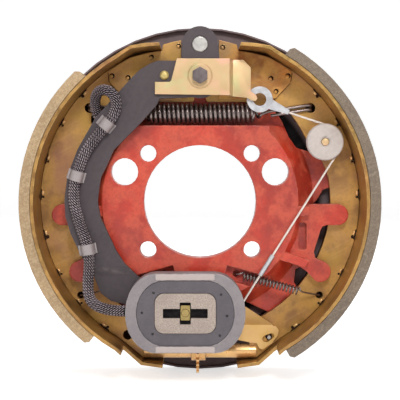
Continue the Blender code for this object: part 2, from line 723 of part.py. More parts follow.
def make_shield():
    """The dished sheet behind the shoes, its screws, plugs and the lead's grommet."""
    thick = SHIELD_THICK
    front = [(SHIELD_BORE_RADIUS, SHIELD_FRONT_Y), (SHIELD_FLAT_RADIUS, SHIELD_FRONT_Y),
             (SHIELD_DISH_RADIUS, SHIELD_RIM_Y), (SHIELD_RADIUS - thick, SHIELD_RIM_Y),
             (SHIELD_RADIUS - thick, SHIELD_RIM_Y + thick - SHIELD_LIP)]
    back = [(SHIELD_RADIUS, SHIELD_RIM_Y + thick - SHIELD_LIP), (SHIELD_RADIUS, SHIELD_RIM_Y + thick),
            (SHIELD_DISH_RADIUS - thick, SHIELD_RIM_Y + thick), (SHIELD_FLAT_RADIUS - thick, SHIELD_BACK_Y),
            (SHIELD_BORE_RADIUS, SHIELD_BACK_Y)]
    shield = turned("dust_shield", front + back, steps=48, closed=True)
    far = SHIELD_RIM_Y + 10
    nut_hole = disc(0.0, ANCHOR_Z, ANCHOR_NUT_FLATS / 2 + 3.5)
    cut(shield, plate("shield_nut_hole", nut_hole, 0.0, RIM_BACK_Y + ANCHOR_NUT_THICK + 8))
    cut(shield, plate("shield_lead_hole", disc(*LEAD_HOLE, GROMMET_RADIUS - GROMMET_LIP),
                      SHIELD_RIM_Y - 5, far))
    plugs = []
    for index, angle in enumerate((-90 - PLUG_SPREAD_DEG, -90 + PLUG_SPREAD_DEG)):
        x, z = polar(PLUG_CIRCLE_RADIUS, angle)
        slot = rounded_box(x, z, PLUG_HALF, PLUG_HALF[1] - 0.5, 30.0)
        cut(shield, plate("shield_slot_%d" % (index + 1), slot, SHIELD_RIM_Y - 5, far))
        inner = rounded_box(x, z, (PLUG_HALF[0] - GAP, PLUG_HALF[1] - GAP), PLUG_HALF[1] - 0.8, 30.0)
        outer = rounded_box(x, z, (PLUG_HALF[0] + 1.6, PLUG_HALF[1] + 1.6), PLUG_HALF[1], 30.0)
        plug = plate("adjuster_plug_%d" % (index + 1), inner, SHIELD_RIM_Y,
                     SHIELD_RIM_Y + thick + GAP + 1.0)
        add(plug, plate("plug_lip_%d" % (index + 1), outer, SHIELD_RIM_Y + thick + GAP,
                        SHIELD_RIM_Y + thick + GAP + 1.8))
        plugs.append(plug)
    for index, angle in enumerate(SCREW_ANGLES):
        x, z = polar(SCREW_CIRCLE_RADIUS, angle)
        cut(shield, plate("shield_screw_hole_%d" % (index + 1), disc(x, z, SCREW_RADIUS + GAP, 30.0),
                          0.0, SHIELD_BACK_Y + 2))
        screw = prism("shield_screw_%d" % (index + 1), x, z, SCREW_HEAD_FLATS, SHIELD_BACK_Y + GAP,
                      SHIELD_BACK_Y + GAP + SCREW_HEAD_THICK)
        add(screw, plate("screw_shank_%d" % (index + 1), disc(x, z, SCREW_RADIUS, 30.0),
                         RIM_BACK_Y - SCREW_DEPTH, SHIELD_BACK_Y + GAP + 1.0))
        keep(screw, "steel")
    keep(shield, "shield_black")
    for plug in plugs:
        keep(plug, "rubber_black")
    lip = GROMMET_RADIUS
    neck = lip - GROMMET_LIP - GAP
    bore = SLEEVE_RADIUS + GAP
    low, high = SHIELD_RIM_Y - GAP, SHIELD_RIM_Y + thick + GAP
    rubber = [(bore, low - 1.5), (lip, low - 1.5), (lip, low), (neck, low), (neck, high), (lip, high),
              (lip, high + 1.5), (bore, high + 1.5)]
    keep(turned("lead_grommet", rubber, (LEAD_HOLE[0], 0.0, LEAD_HOLE[1]), steps=24, closed=True),
         "rubber_black")


# Anchor post with its fastenings and the cable bracket

def make_anchor():
    """Post, bolt, washer, nut and bracket at the top of the spider."""
    collar_back = -GAP
    post = turned("anchor_post", [(0.0, POST_FRONT_Y), (ANCHOR_JOURNAL_RADIUS, POST_FRONT_Y),
                                  (ANCHOR_JOURNAL_RADIUS, LEVER_BACK_Y + GAP),
                                  (ANCHOR_COLLAR_RADIUS, LEVER_BACK_Y + GAP),
                                  (ANCHOR_COLLAR_RADIUS, collar_back), (ANCHOR_RADIUS, collar_back),
                                  (ANCHOR_RADIUS, RIM_FRONT_Y - GAP),
                                  (ANCHOR_SHANK_RADIUS, RIM_FRONT_Y - GAP),
                                  (ANCHOR_SHANK_RADIUS, RIM_BACK_Y + ANCHOR_NUT_THICK + 2.0),
                                  (0.0, RIM_BACK_Y + ANCHOR_NUT_THICK + 2.0)],
                  (0.0, 0.0, ANCHOR_Z), steps=28)
    bore = disc(0.0, ANCHOR_Z, ANCHOR_BOLT_RADIUS + GAP)
    cut(post, plate("anchor_post_bore", bore, POST_FRONT_Y - 5, POST_FRONT_Y + 14.3))
    keep(post, "steel")
    nut = prism("anchor_nut", 0.0, ANCHOR_Z, ANCHOR_NUT_FLATS, RIM_BACK_Y + GAP,
                RIM_BACK_Y + GAP + ANCHOR_NUT_THICK)
    cut(nut, plate("anchor_nut_bore", disc(0.0, ANCHOR_Z, ANCHOR_SHANK_RADIUS + GAP), 0.0, 60.0))
    keep(nut, "steel")
    bolt = prism("anchor_bolt", 0.0, ANCHOR_Z, ANCHOR_HEAD_FLATS, BOLT_HEAD_FRONT_Y,
                 BOLT_HEAD_FRONT_Y + ANCHOR_HEAD_THICK)
    add(bolt, plate("anchor_bolt_shank", disc(0.0, ANCHOR_Z, ANCHOR_BOLT_RADIUS),
                    BOLT_HEAD_FRONT_Y + 1.0, POST_FRONT_Y + 14.0))
    keep(bolt, "steel")
    washer = [(ANCHOR_BOLT_RADIUS + GAP, WASHER_FRONT_Y), (ANCHOR_WASHER_RADIUS - 1.6, WASHER_FRONT_Y),
              (ANCHOR_WASHER_RADIUS, WASHER_FRONT_Y + ANCHOR_WASHER_THICK),
              (ANCHOR_BOLT_RADIUS + GAP, WASHER_FRONT_Y + ANCHOR_WASHER_THICK)]
    keep(turned("anchor_washer", washer, (0.0, 0.0, ANCHOR_Z), steps=32, closed=True), "zinc_pale")


def make_bracket():
    """The plate on the anchor: lever stop on the left, cable tab on the right, a step between."""
    swing = abs(STOP_RIVET[0]) * math.sin(math.radians(LEVER_SWING_DEG))
    ledge = STOP_RIVET[1] - STOP_RIVET_RADIUS - swing - GAP
    notch_x = STOP_RIVET[0] + STOP_RIVET_RADIUS + 1.2
    outline = [(-20.0, 123.9), (44.5 - 6.5, 123.9), (44.5, 117.0), (44.5, 96.3), (48.9, 93.3),
               (50.3, 90.0), (48.4, 87.6), (45.0, 88.4), (41.0, 90.6), (27.9, 91.9), (BRACKET_BEND_X, 92.2),
               (-38.9, 93.1), (-38.9, ledge), (notch_x - 0.6, ledge), (notch_x + 0.8, ledge + 1.4),
               (notch_x + 1.6, ledge + 4.5)]
    low, high = 80.0, 130.0
    step = BRACKET_FRONT_Y + BRACKET_STEP
    bend = BRACKET_BEND_X
    fold = [(-50.0, BRACKET_FRONT_Y), (bend, BRACKET_FRONT_Y), (bend + BRACKET_THICK, step),
            (60.0, step), (60.0, step + BRACKET_THICK), (bend, step + BRACKET_THICK),
            (bend - BRACKET_THICK, BRACKET_BACK_Y), (-50.0, BRACKET_BACK_Y)]
    bracket = plate("cable_bracket", fold, -high, -low)
    bracket.data.transform(Matrix.Rotation(-math.pi / 2, 4, "X") @ bracket.matrix_world)
    bracket.matrix_world = Matrix.Identity(4)
    within(bracket, plate("bracket_shape", outline, -60.0, 20.0))
    hole = disc(0.0, ANCHOR_Z, ANCHOR_BOLT_RADIUS + GAP)
    cut(bracket, plate("bracket_bolt_hole", hole, -60.0, 20.0))
    keep(bracket, "zinc_pale", smooth=False)


# Lever arm, magnet and lead, which swing together on the anchor

LEVER_OUTER = ((-15.6, 122.3), (-36.5, 122.3), (-43.4, 119.6), (-52.0, 114.5), (-60.0, 106.6),
               (-69.6, 96.0), (-90.3, 73.0), (-105.7, 46.0), (-114.6, 23.0), (-117.2, 2.0),
               (-116.4, -12.0), (-111.8, -27.5), (-103.5, -44.5), (-91.5, -66.0), (-86.5, -79.0),
               (-77.1, -86.2), (-67.2, -88.5))
LEVER_INNER = ((-40.0, -74.0), (-53.9, -65.0), (-65.5, -53.0), (-72.6, -42.0), (-79.5, -27.5),
               (-86.0, -13.5), (-88.6, 0.5), (-85.9, 20.7), (-74.5, 45.2), (-50.6, 69.2),
               (-37.6, 84.0), (-34.7, 89.6), (-6.0, 90.9))


def lever_outline():
    """Front view of the lever arm, from the cam head round to the magnet seat."""
    head = arc(0.0, CAM_Z, CAM_HEAD_RADIUS, 0.0, 180.0, 12.0)
    seat = arc(MAGNET_X, MAGNET_Z, POST_SEAT_RADIUS, -100.0, 80.0, 18.0)
    hub = arc(0.0, ANCHOR_Z, LEVER_HUB_RADIUS, -95.0, 20.0, 12.0)
    return head + list(LEVER_OUTER) + seat + list(LEVER_INNER) + hub


def make_lever():
    """Cranked arm with the cam, its pin, the stop rivet and the magnet post."""
    profile = [(LEVER_FRONT_Y, 160.0), (LEVER_FRONT_Y, LEVER_CRANK_Z),
               (FOOT_FRONT_Y, LEVER_CRANK_Z - LEVER_CRANK_RUN), (FOOT_FRONT_Y, -130.0),
               (FOOT_BACK_Y, -130.0), (FOOT_BACK_Y, LEVER_CRANK_Z - LEVER_CRANK_RUN),
               (LEVER_BACK_Y, LEVER_CRANK_Z), (LEVER_BACK_Y, 160.0)]
    lever = section("lever_arm", profile, -140.0, 60.0)
    within(lever, plate("lever_shape", lever_outline(), -60.0, 20.0))
    cut(lever, plate("lever_anchor_hole", disc(0.0, ANCHOR_Z, ANCHOR_JOURNAL_RADIUS + GAP), -60.0, 20.0))
    cut(lever, plate("lever_pin_hole", disc(0.0, CAM_Z, CAM_PIN_RADIUS + GAP), -60.0, 20.0))
    cut(lever, plate("lever_rivet_hole", disc(*STOP_RIVET, STOP_RIVET_RADIUS - 1.0 + GAP), -60.0, 20.0))
    cut(lever, plate("lever_post_hole", disc(MAGNET_X, MAGNET_Z, POST_RADIUS + GAP), -60.0, 20.0))
    keep(lever, "lever_black")

    bore = CAM_PIN_RADIUS + GAP
    cam = turned("lever_cam", [(bore, LEVER_BACK_Y + GAP), (CAM_NECK_RADIUS, LEVER_BACK_Y + GAP),
                               (CAM_NECK_RADIUS, 0.0), (CAM_RADIUS, 0.0), (CAM_RADIUS, WEB_BACK_Y),
                               (bore, WEB_BACK_Y)], (0.0, 0.0, CAM_Z), steps=30, closed=True)
    cut(cam, box("cam_flat", (-30.0, LEVER_BACK_Y - 5, ANCHOR_Z), (30.0, WEB_BACK_Y + 5, CAM_FLAT_Z)))
    keep(cam, "steel")
    pin = turned("cam_pin", [(0.0, LEVER_FRONT_Y - 1.0), (CAM_PIN_RADIUS - 0.8, LEVER_FRONT_Y - 1.0),
                             (CAM_PIN_RADIUS, LEVER_FRONT_Y - 0.2), (CAM_PIN_RADIUS, WEB_BACK_Y),
                             (0.0, WEB_BACK_Y)], (0.0, 0.0, CAM_Z), steps=24)
    keep(pin, "steel")
    head = LEVER_FRONT_Y - GAP
    shank = STOP_RIVET_RADIUS - 1.0
    rivet = turned("stop_rivet", [(0.0, head - STOP_RIVET_THICK), (2.4, head - STOP_RIVET_THICK + 0.2),
                                  (STOP_RIVET_RADIUS, head - 0.8), (STOP_RIVET_RADIUS, head),
                                  (shank, head), (shank, LEVER_BACK_Y), (0.0, LEVER_BACK_Y)],
                   (STOP_RIVET[0], 0.0, STOP_RIVET[1]), steps=20)
    keep(rivet, "brass")
    tip = MAGNET_FACE_Y + MAGNET_TRAVEL + 0.1
    post = turned("magnet_post", [(0.0, tip), (POST_RADIUS, tip),
                                  (POST_RADIUS, FOOT_BACK_Y + 1.6), (0.0, FOOT_BACK_Y + 1.6)],
                  (MAGNET_X, 0.0, MAGNET_Z), steps=20)
    keep(post, "steel")
    return [lever, cam, pin, rivet, post]


def make_magnet():
    """Case, potted winding, core, retaining clip and spring."""
    seat = MAGNET_FACE_Y + POTTING_DEPTH
    case = plate("magnet_case", oval(MAGNET_X, MAGNET_Z, MAGNET_HALF, 25.0), MAGNET_FACE_Y + POTTING_RECESS,
                 MAGNET_BACK_Y)
    for side, label in ((1, "top"), (-1, "bottom")):
        lip_z = MAGNET_Z + side * (MAGNET_HALF[1] - 3.0)
        lip = rounded_box(MAGNET_X, lip_z, (25.0, 2.6), 0.8, 45.0)
        add(case, plate("magnet_lip_" + label, lip, MAGNET_FACE_Y, MAGNET_FACE_Y + 5.0))
    room = oval(MAGNET_X, MAGNET_Z, (POTTING_HALF[0] + GAP, POTTING_HALF[1] + GAP), 18.0)
    cut(case, plate("magnet_room", room, MAGNET_FACE_Y - 5, seat))
    pocket = disc(MAGNET_X, MAGNET_Z, MAGNET_SPRING_RADIUS + MAGNET_SPRING_WIRE, 20.0)
    cut(case, plate("magnet_pocket", pocket, MAGNET_BACK_Y - 3.2, MAGNET_BACK_Y + 5))
    bore = disc(MAGNET_X, MAGNET_Z, POST_RADIUS + GAP, 24.0)
    cut(case, plate("magnet_bore", bore, MAGNET_FACE_Y - 5, MAGNET_BACK_Y + 5))
    keep(case, "magnet_grey")

    half = (CORE_HALF[0] + GAP, CORE_HALF[1] + GAP)
    inner = rounded_box(MAGNET_X, MAGNET_Z, half, CORE_CORNER)
    potting = plate("magnet_potting", oval(MAGNET_X, MAGNET_Z, POTTING_HALF, 18.0),
                    MAGNET_FACE_Y + POTTING_RECESS, seat - GAP, [inner])
    keep(potting, "potting_grey")

    core = plate("magnet_core", rounded_box(MAGNET_X, MAGNET_Z, CORE_HALF, CORE_CORNER), MAGNET_FACE_Y,
                 seat - GAP)
    floor = MAGNET_FACE_Y + CORE_SLOT_DEPTH
    for label, size in (("slot", CORE_SLOT), ("cross", CORE_CROSS)):
        shape = rounded_box(MAGNET_X, MAGNET_Z, (size[0] / 2, size[1] / 2), 0.6, 45.0)
        cut(core, plate("core_" + label, shape, MAGNET_FACE_Y - 5, floor))
    cut(core, plate("core_bore", bore, MAGNET_FACE_Y - 5, MAGNET_BACK_Y + 5))
    keep(core, "core_beige")

    clip_back = floor - GAP
    clip = plate("magnet_clip", rounded_box(MAGNET_X, MAGNET_Z, (CLIP_SIZE[0] / 2, 6.4), 0.6, 45.0),
                 clip_back - CLIP_THICK, clip_back, [disc(MAGNET_X, MAGNET_Z, POST_RADIUS + GAP, 24.0)])
    keep(clip, "brass")
    spring_start = (MAGNET_X, FOOT_FRONT_Y - GAP - MAGNET_SPRING_WIRE / 2, MAGNET_Z)
    spring_end = (MAGNET_X, MAGNET_BACK_Y - 3.2 + GAP + MAGNET_SPRING_WIRE / 2, MAGNET_Z)
    turns = []
    count = MAGNET_SPRING_TURNS * MAGNET_SPRING_STEPS
    for index in range(count + 1):
        x, z = polar(MAGNET_SPRING_RADIUS, index * 360.0 / MAGNET_SPRING_STEPS)
        part = index / count
        turns.append((spring_start[0] + x, spring_start[1] + (spring_end[1] - spring_start[1]) * part,
                      spring_start[2] + z))
    spring = tube("magnet_spring", turns, MAGNET_SPRING_WIRE / 2, 0)
    keep(spring, "steel")
    return [case, potting, core], [clip, spring]


SLEEVE_ROUTE = ((-64.3, -30.5, -93.0), (-72.0, -29.6, -92.8), (-79.5, SLEEVE_Y, -91.9),
                (-87.6, SLEEVE_Y, -89.3), (-93.6, SLEEVE_Y, -84.1), (-95.9, SLEEVE_Y, -76.4),
                (-96.0, SLEEVE_Y, -65.4), (-95.3, SLEEVE_Y, -52.4), (-96.0, SLEEVE_Y, -41.5),
                (-98.5, SLEEVE_Y, -31.5), (-102.2, SLEEVE_Y, -21.6), (-105.7, SLEEVE_Y, -10.7),
                (-108.2, SLEEVE_Y, 1.5), (-107.9, SLEEVE_Y, 15.3), (-105.1, SLEEVE_Y, 26.3),
                (-100.2, SLEEVE_Y, 39.5), (-93.1, SLEEVE_Y, 51.0), (-85.4, SLEEVE_Y, 61.0),
                (-78.4, SLEEVE_Y, 69.6), (-73.6, SLEEVE_Y, 77.0), (-72.0, SLEEVE_Y, 84.0),
                (-73.4, SLEEVE_Y, 90.6), (-78.0, -28.4, 95.4), (-83.8, -25.2, 97.0),
                (-89.0, -19.6, 94.6), (-91.6, -13.4, 89.0), (-91.8, -9.2, 82.6),
                (-90.0, -6.8, 76.0), (-87.6, -3.4, 71.2), (-86.9, 2.0, 69.6),
                (-88.3, 7.0, 71.5), (-90.5, LEAD_SPLIT_Y, 73.8))
TAIL_ROUTE = ((-91.1, LEAD_SPLIT_Y + 1.1, 74.4), (-93.7, 17.0, 76.7), (-96.9, 21.0, 79.0),
              (-100.9, 28.0, 82.3), (-103.3, 37.0, 84.2), (-103.6, 46.0, 84.5),
              (-103.6, 53.0, 84.5), (-103.6, 60.0, 84.5), (-103.6, 70.0, 81.0),
              (-103.4, 76.0, 70.0), (-102.6, 79.0, 54.0), (-101.4, 80.0, 34.0),
              (-100.2, 80.0, 12.0), (-99.4, 79.6, -12.0), (-99.0, 79.2, -36.0))
WIRE_CLIPS = ((-79.6, 68.2), (-105.4, 25.6), (-95.9, -42.5))
TAIL_WIRE_RADIUS = 1.4
TAIL_WIRE_SPREAD = 2.0


def make_lead():
    """Braided lead on the lever, its tail behind the shield, and the clips that hold it."""
    course = smooth_path(SLEEVE_ROUTE, 7.0)
    sleeve = tube("lead_sleeve", course, SLEEVE_RADIUS)
    tail = tube("lead_tail", smooth_path(TAIL_ROUTE, 9.0), SLEEVE_RADIUS)
    keep(sleeve, "sleeve_black")
    keep(tail, "sleeve_black")
    end = TAIL_ROUTE[-1]
    for index, side in enumerate((-1, 1)):
        x = end[0] + side * TAIL_WIRE_SPREAD
        route = [(x, end[1], end[2] - 0.4), (x + side * 0.6, end[1], end[2] - 12.0),
                 (x + side * 2.4, end[1] + 0.6, end[2] - 26.0), (x + side * 3.0, end[1] + 1.0, end[2] - 40.0)]
        keep(tube("lead_wire_%d" % (index + 1), smooth_path(route, 5.0), TAIL_WIRE_RADIUS), "rubber_black")
    clips = []
    inner = SLEEVE_RADIUS + GAP
    outer = inner + CLIP_WALL
    foot = SLEEVE_RADIUS
    band = [(-outer - 2.4, -foot + CLIP_WALL), (-outer - 2.4, -foot), (-inner, -foot)]
    band += arc(0.0, 0.0, inner, 180.0, 0.0, 18.0)
    band += [(inner, -foot), (outer + 1.2, -foot), (outer + 1.2, -foot + CLIP_WALL),
             (outer, -foot + CLIP_WALL)]
    band += arc(0.0, 0.0, outer, 0.0, 180.0, 18.0) + [(-outer, -foot + CLIP_WALL)]
    for index, (x, z) in enumerate(WIRE_CLIPS):
        near = min(range(len(course) - 1),
                   key=lambda k: math.hypot(course[k][0] + course[k + 1][0] - 2 * x,
                                            course[k][2] + course[k + 1][2] - 2 * z))
        begin, end = Vector(course[near]), Vector(course[near + 1])
        heading = math.atan2(end.z - begin.z, end.x - begin.x)
        clip = plate("wire_clip_%d" % (index + 1), band, -CLIP_WIDTH / 2, CLIP_WIDTH / 2)
        turn = Matrix.Rotation(math.pi / 2 - heading, 4, "Y") @ Matrix.Rotation(math.pi / 2, 4, "X")
        clip.data.transform(Matrix.Translation((begin + end) / 2 * MM) @ turn @ clip.matrix_world)
        clip.matrix_world = Matrix.Identity(4)
        keep(clip, "steel")
        clips.append(clip)
    return [sleeve, *clips]


# Springs

def make_retractor():
    """Close-wound spring between the shoes, with a double-wire hook at each end."""
    y, z = RETRACTOR_Y, RETRACTOR_Z
    wire = RETRACTOR_WIRE / 2
    body = coil((RETRACTOR_X[0], y, z), (RETRACTOR_X[1], y, z), RETRACTOR_RADIUS, RETRACTOR_TURNS, 8, 90.0)

    def hook(side, start_x):
        hole_x, hole_z = side * RETRACTOR_HOLE[0], RETRACTOR_HOLE[1]
        taper = []
        for index in range(1, 13):
            part = index / 12
            angle = math.radians(90.0 + 36.0 * index * side)
            radius = RETRACTOR_RADIUS - (RETRACTOR_RADIUS - 2.0) * part
            taper.append((start_x + side * 8.0 * part, y + radius * math.cos(angle),
                          z + radius * math.sin(angle) * -side))
        over = WEB_FRONT_Y - GAP - wire - 0.2
        gap = 1.95
        run = [(start_x + side * 14.0, y + 0.6, z + gap), (hole_x - side * 4.5, over, hole_z + gap),
               (hole_x - side * 0.6, over + 0.9, hole_z + gap), (hole_x, over + 3.0, hole_z + gap),
               (hole_x, over + 7.5, hole_z + gap * 0.8), (hole_x, over + 8.2, hole_z),
               (hole_x, over + 7.5, hole_z - gap * 0.8), (hole_x, over + 3.0, hole_z - gap),
               (hole_x - side * 0.6, over + 0.9, hole_z - gap), (hole_x - side * 4.5, over, hole_z - gap),
               (start_x + side * 17.0, y + 0.8, z - gap + 0.4)]
        return taper, run

    right_taper, right_run = hook(1, RETRACTOR_X[1])
    left_taper, left_run = hook(-1, RETRACTOR_X[0])
    points = left_run[::-1] + left_taper[::-1] + body + right_taper + right_run
    spring = tube("retractor_spring", points, wire, 0)
    keep(spring, "spring_black")


def make_hold_springs():
    """Small springs from the casting to the lower part of each web."""
    for side, label in ((1, "right"), (-1, "left")):
        hx, hz = HOLD_HOLE
        wx, wz = HOLD_WEB_HOLE
        axis_y = -HOLD_GROOVE_FLOOR - GAP - HOLD_RADIUS - HOLD_WIRE / 2 - 0.1
        along = Vector((wx - hx, wz - hz)).normalized()
        start = Vector((hx, hz)) + along * 6.5
        end = Vector((hx, hz)) + along * 57.0
        first = [(hx, -0.6, hz), (hx, axis_y + 1.6, hz), (hx + 1.2, axis_y, hz - 0.4)]
        body = coil((start.x, axis_y, start.y), (end.x, axis_y, end.y), HOLD_RADIUS, HOLD_TURNS, 5)
        over = WEB_FRONT_Y - GAP - HOLD_WIRE / 2
        last = [(end.x + 3.0, axis_y + 0.6, end.y - 0.6), (wx - 1.6, over - 0.2, wz + 0.4),
                (wx, over + 2.0, wz), (wx, WEB_BACK_Y + 1.5, wz)]
        points = [(side * x, y, z) for x, y, z in first + body + last]
        keep(tube("hold_spring_" + label, points, HOLD_WIRE / 2, 0), "spring_black")


def make_adjuster_spring():
    """Spring behind the webs that keeps both shoes on the adjuster."""
    hx, hz = ADJUSTER_SPRING_HOLE
    y = ADJUSTER_SPRING_Y
    body = coil((-24.0, y, hz), (24.0, y, hz), ADJUSTER_SPRING_RADIUS, ADJUSTER_SPRING_TURNS, 5)
    seat = hx - ADJUSTER_SPRING_HOLE_RADIUS + ADJUSTER_SPRING_WIRE / 2 + GAP
    hook = [(30.0, y - 0.6, hz), (seat - 2.0, y - 2.0, hz), (seat, y - 4.0, hz),
            (seat, WEB_FRONT_Y + 0.6, hz)]
    left = [(-x, py, z) for x, py, z in hook][::-1]
    keep(tube("adjuster_spring", left + body + hook, ADJUSTER_SPRING_WIRE / 2, 0), "spring_black")


# Cable, pulley and pawl

def make_pulley():
    """Nylon pulley on its shouldered stud in the right-hand web."""
    back = PULLEY_MID_Y + PULLEY_THICK / 2
    front = PULLEY_FRONT_Y
    bore = PULLEY_PIN_RADIUS + GAP
    groove = PULLEY_GROOVE_RADIUS - CABLE_RADIUS - GAP
    half = CABLE_RADIUS + 0.6
    place = (PULLEY[0], 0.0, PULLEY[1])
    profile = [(bore, front + 1.0), (bore + 1.2, front + 1.0), (bore + 1.2, front),
               (PULLEY_RADIUS - 1.0, front), (PULLEY_RADIUS, front + 1.0),
               (PULLEY_RADIUS, PULLEY_MID_Y - half - 0.9),
               (groove, PULLEY_MID_Y - half + 0.3), (groove, PULLEY_MID_Y + half - 0.3),
               (PULLEY_RADIUS, PULLEY_MID_Y + half + 0.9), (PULLEY_RADIUS, back), (bore, back)]
    pulley = turned("cable_pulley", profile, place, steps=28, closed=True)
    keep(pulley, "nylon_white")
    stud = turned("pulley_stud", [(0.0, front + 0.2), (PULLEY_PIN_RADIUS, front + 0.4),
                                  (PULLEY_PIN_RADIUS, back + GAP), (PULLEY_STUD_RADIUS, back + GAP),
                                  (PULLEY_STUD_RADIUS, WEB_FRONT_Y - GAP),
                                  (PULLEY_PIN_RADIUS, WEB_FRONT_Y - GAP),
                                  (PULLEY_PIN_RADIUS, WEB_BACK_Y + 2.0), (0.0, WEB_BACK_Y + 2.0)],
                  place, steps=20)
    keep(stud, "zinc_pale")
    return pulley, stud


def make_cable():
    """Eyelet on the bracket tab, the cable round the pulley, and its ferrule."""
    ex, ez = EYELET
    tx, tz = EYELET_TAIL_END
    eyelet = plate("cable_eyelet", disc(ex, ez, EYELET_RADIUS, 12.0), EYELET_Y - EYELET_THICK / 2,
                   EYELET_Y + EYELET_THICK / 2)
    aim = math.degrees(math.atan2(tz - ez, tx - ex))
    side = Vector(polar(1.0, aim + 90.0))
    near = Vector(EYELET) + Vector(polar(EYELET_RADIUS - 2.0, aim))
    far = Vector(EYELET_TAIL_END)
    tail = [near + side * 4.6, far + side * 2.0, far - side * 2.0, near - side * 4.6]
    add(eyelet, plate("eyelet_tail", [tuple(point) for point in tail], EYELET_Y - 1.1, EYELET_Y + 1.1))
    cut(eyelet, plate("eyelet_hole", disc(ex, ez, EYELET_HOLE_RADIUS, 15.0), -40.0, 20.0))
    keep(eyelet, "steel")

    along = (far - Vector(EYELET)).normalized()
    start = far + along * (GAP + 0.1)
    touch = circle_contact(tuple(start), PULLEY, PULLEY_GROOVE_RADIUS, -1)
    leave = circle_contact(CABLE_HOOK, PULLEY, PULLEY_GROOVE_RADIUS, 1)
    first = math.degrees(math.atan2(touch[1] - PULLEY[1], touch[0] - PULLEY[0]))
    last = math.degrees(math.atan2(leave[1] - PULLEY[1], leave[0] - PULLEY[0]))
    wrap = arc(*PULLEY, PULLEY_GROOVE_RADIUS, first, last, 8.0)
    points = [(start.x, EYELET_Y, start.y)]
    points += [(x, PULLEY_MID_Y, z) for x, z in wrap]
    run = Vector((CABLE_HOOK[0] - leave[0], CABLE_HOOK_Y - PULLEY_MID_Y, CABLE_HOOK[1] - leave[1]))
    begin = Vector((leave[0], PULLEY_MID_Y, leave[1]))
    hook_x, hook_z = CABLE_HOOK
    points += [tuple(begin + run * 0.5), tuple(begin + run * 0.98), (hook_x, CABLE_HOOK_Y + 1.4, hook_z),
               (hook_x, CABLE_HOOK_Y + 11.0, hook_z)]
    cable = tube("adjuster_cable", points, CABLE_RADIUS)
    keep(cable, "steel")
    low, high = begin + run * 0.65, begin + run * 0.78
    ferrule = turned("cable_ferrule", [(CABLE_RADIUS + GAP, -10.5), (FERRULE_RADIUS, -10.5),
                                       (FERRULE_RADIUS, 10.5), (CABLE_RADIUS + GAP, 10.5)],
                     steps=12, closed=True)
    turn = run.to_track_quat("Z", "Y")
    ferrule.rotation_mode = "QUATERNION"
    ferrule.rotation_quaternion = turn
    ferrule.location = (low + high) / 2 * MM
    keep(ferrule, "steel")


def make_adjuster():
    """Screw with its star wheel, between the threaded nut and the plain socket."""
    end = ADJUSTER_END_X
    tube_r = ADJUSTER_TUBE_RADIUS
    thread = ADJUSTER_THREAD_RADIUS
    place = (0.0, SHOE_MID_Y, ADJUSTER_Z)
    reach = WEB_FOOT_X - GAP
    ends = (("adjuster_nut", COLLAR_X[0] - GAP, -end), ("adjuster_socket", COLLAR_X[1] + GAP, end))
    for label, near, far in ends:
        low, high = sorted((near, far))
        profile = [(0.0, low), (tube_r, low), (tube_r, high), (0.0, high)]
        piece = turned(label, profile, place, "X", 24)
        side = 1 if far > 0 else -1
        hole_low, hole_high = sorted((near - side * 5, side * ADJUSTER_BORE_END))
        hole = [(0.0, hole_low), (thread + GAP, hole_low), (thread + GAP, hole_high), (0.0, hole_high)]
        cut(piece, turned(label + "_bore", hole, place, "X", 24))
        slot_low, slot_high = sorted((side * reach, side * (end + 5)))
        half = WEB_THICK / 2 + GAP
        cut(piece, box(label + "_slot", (slot_low, SHOE_MID_Y - half, ADJUSTER_Z - 20),
                       (slot_high, SHOE_MID_Y + half, ADJUSTER_Z + 20)))
        keep(piece, "zinc_yellow")
    rod = ADJUSTER_BORE_END - 2.0
    collar = [(0.0, -rod), (thread, -rod), (thread, COLLAR_X[0]), (COLLAR_RADIUS, COLLAR_X[0]),
              (COLLAR_RADIUS, COLLAR_X[1]), (thread, COLLAR_X[1]), (thread, rod), (0.0, rod)]
    screw = turned("adjuster_screw", collar, place, "X", 24)
    teeth = []
    for index in range(STAR_TEETH):
        base = index * 360.0 / STAR_TEETH
        pitch = 360.0 / STAR_TEETH
        for part, radius in ((0.0, STAR_ROOT_RADIUS), (0.32, STAR_ROOT_RADIUS), (0.5, STAR_RADIUS),
                             (0.8, STAR_RADIUS)):
            dy, dz = polar(radius, base + part * pitch + 90.0 - 0.65 * pitch)
            teeth.append((SHOE_MID_Y + dy, ADJUSTER_Z + dz))
    add(screw, section("adjuster_star", teeth, STAR_X - STAR_THICK / 2, STAR_X + STAR_THICK / 2))
    keep(screw, "zinc_yellow")
    return screw


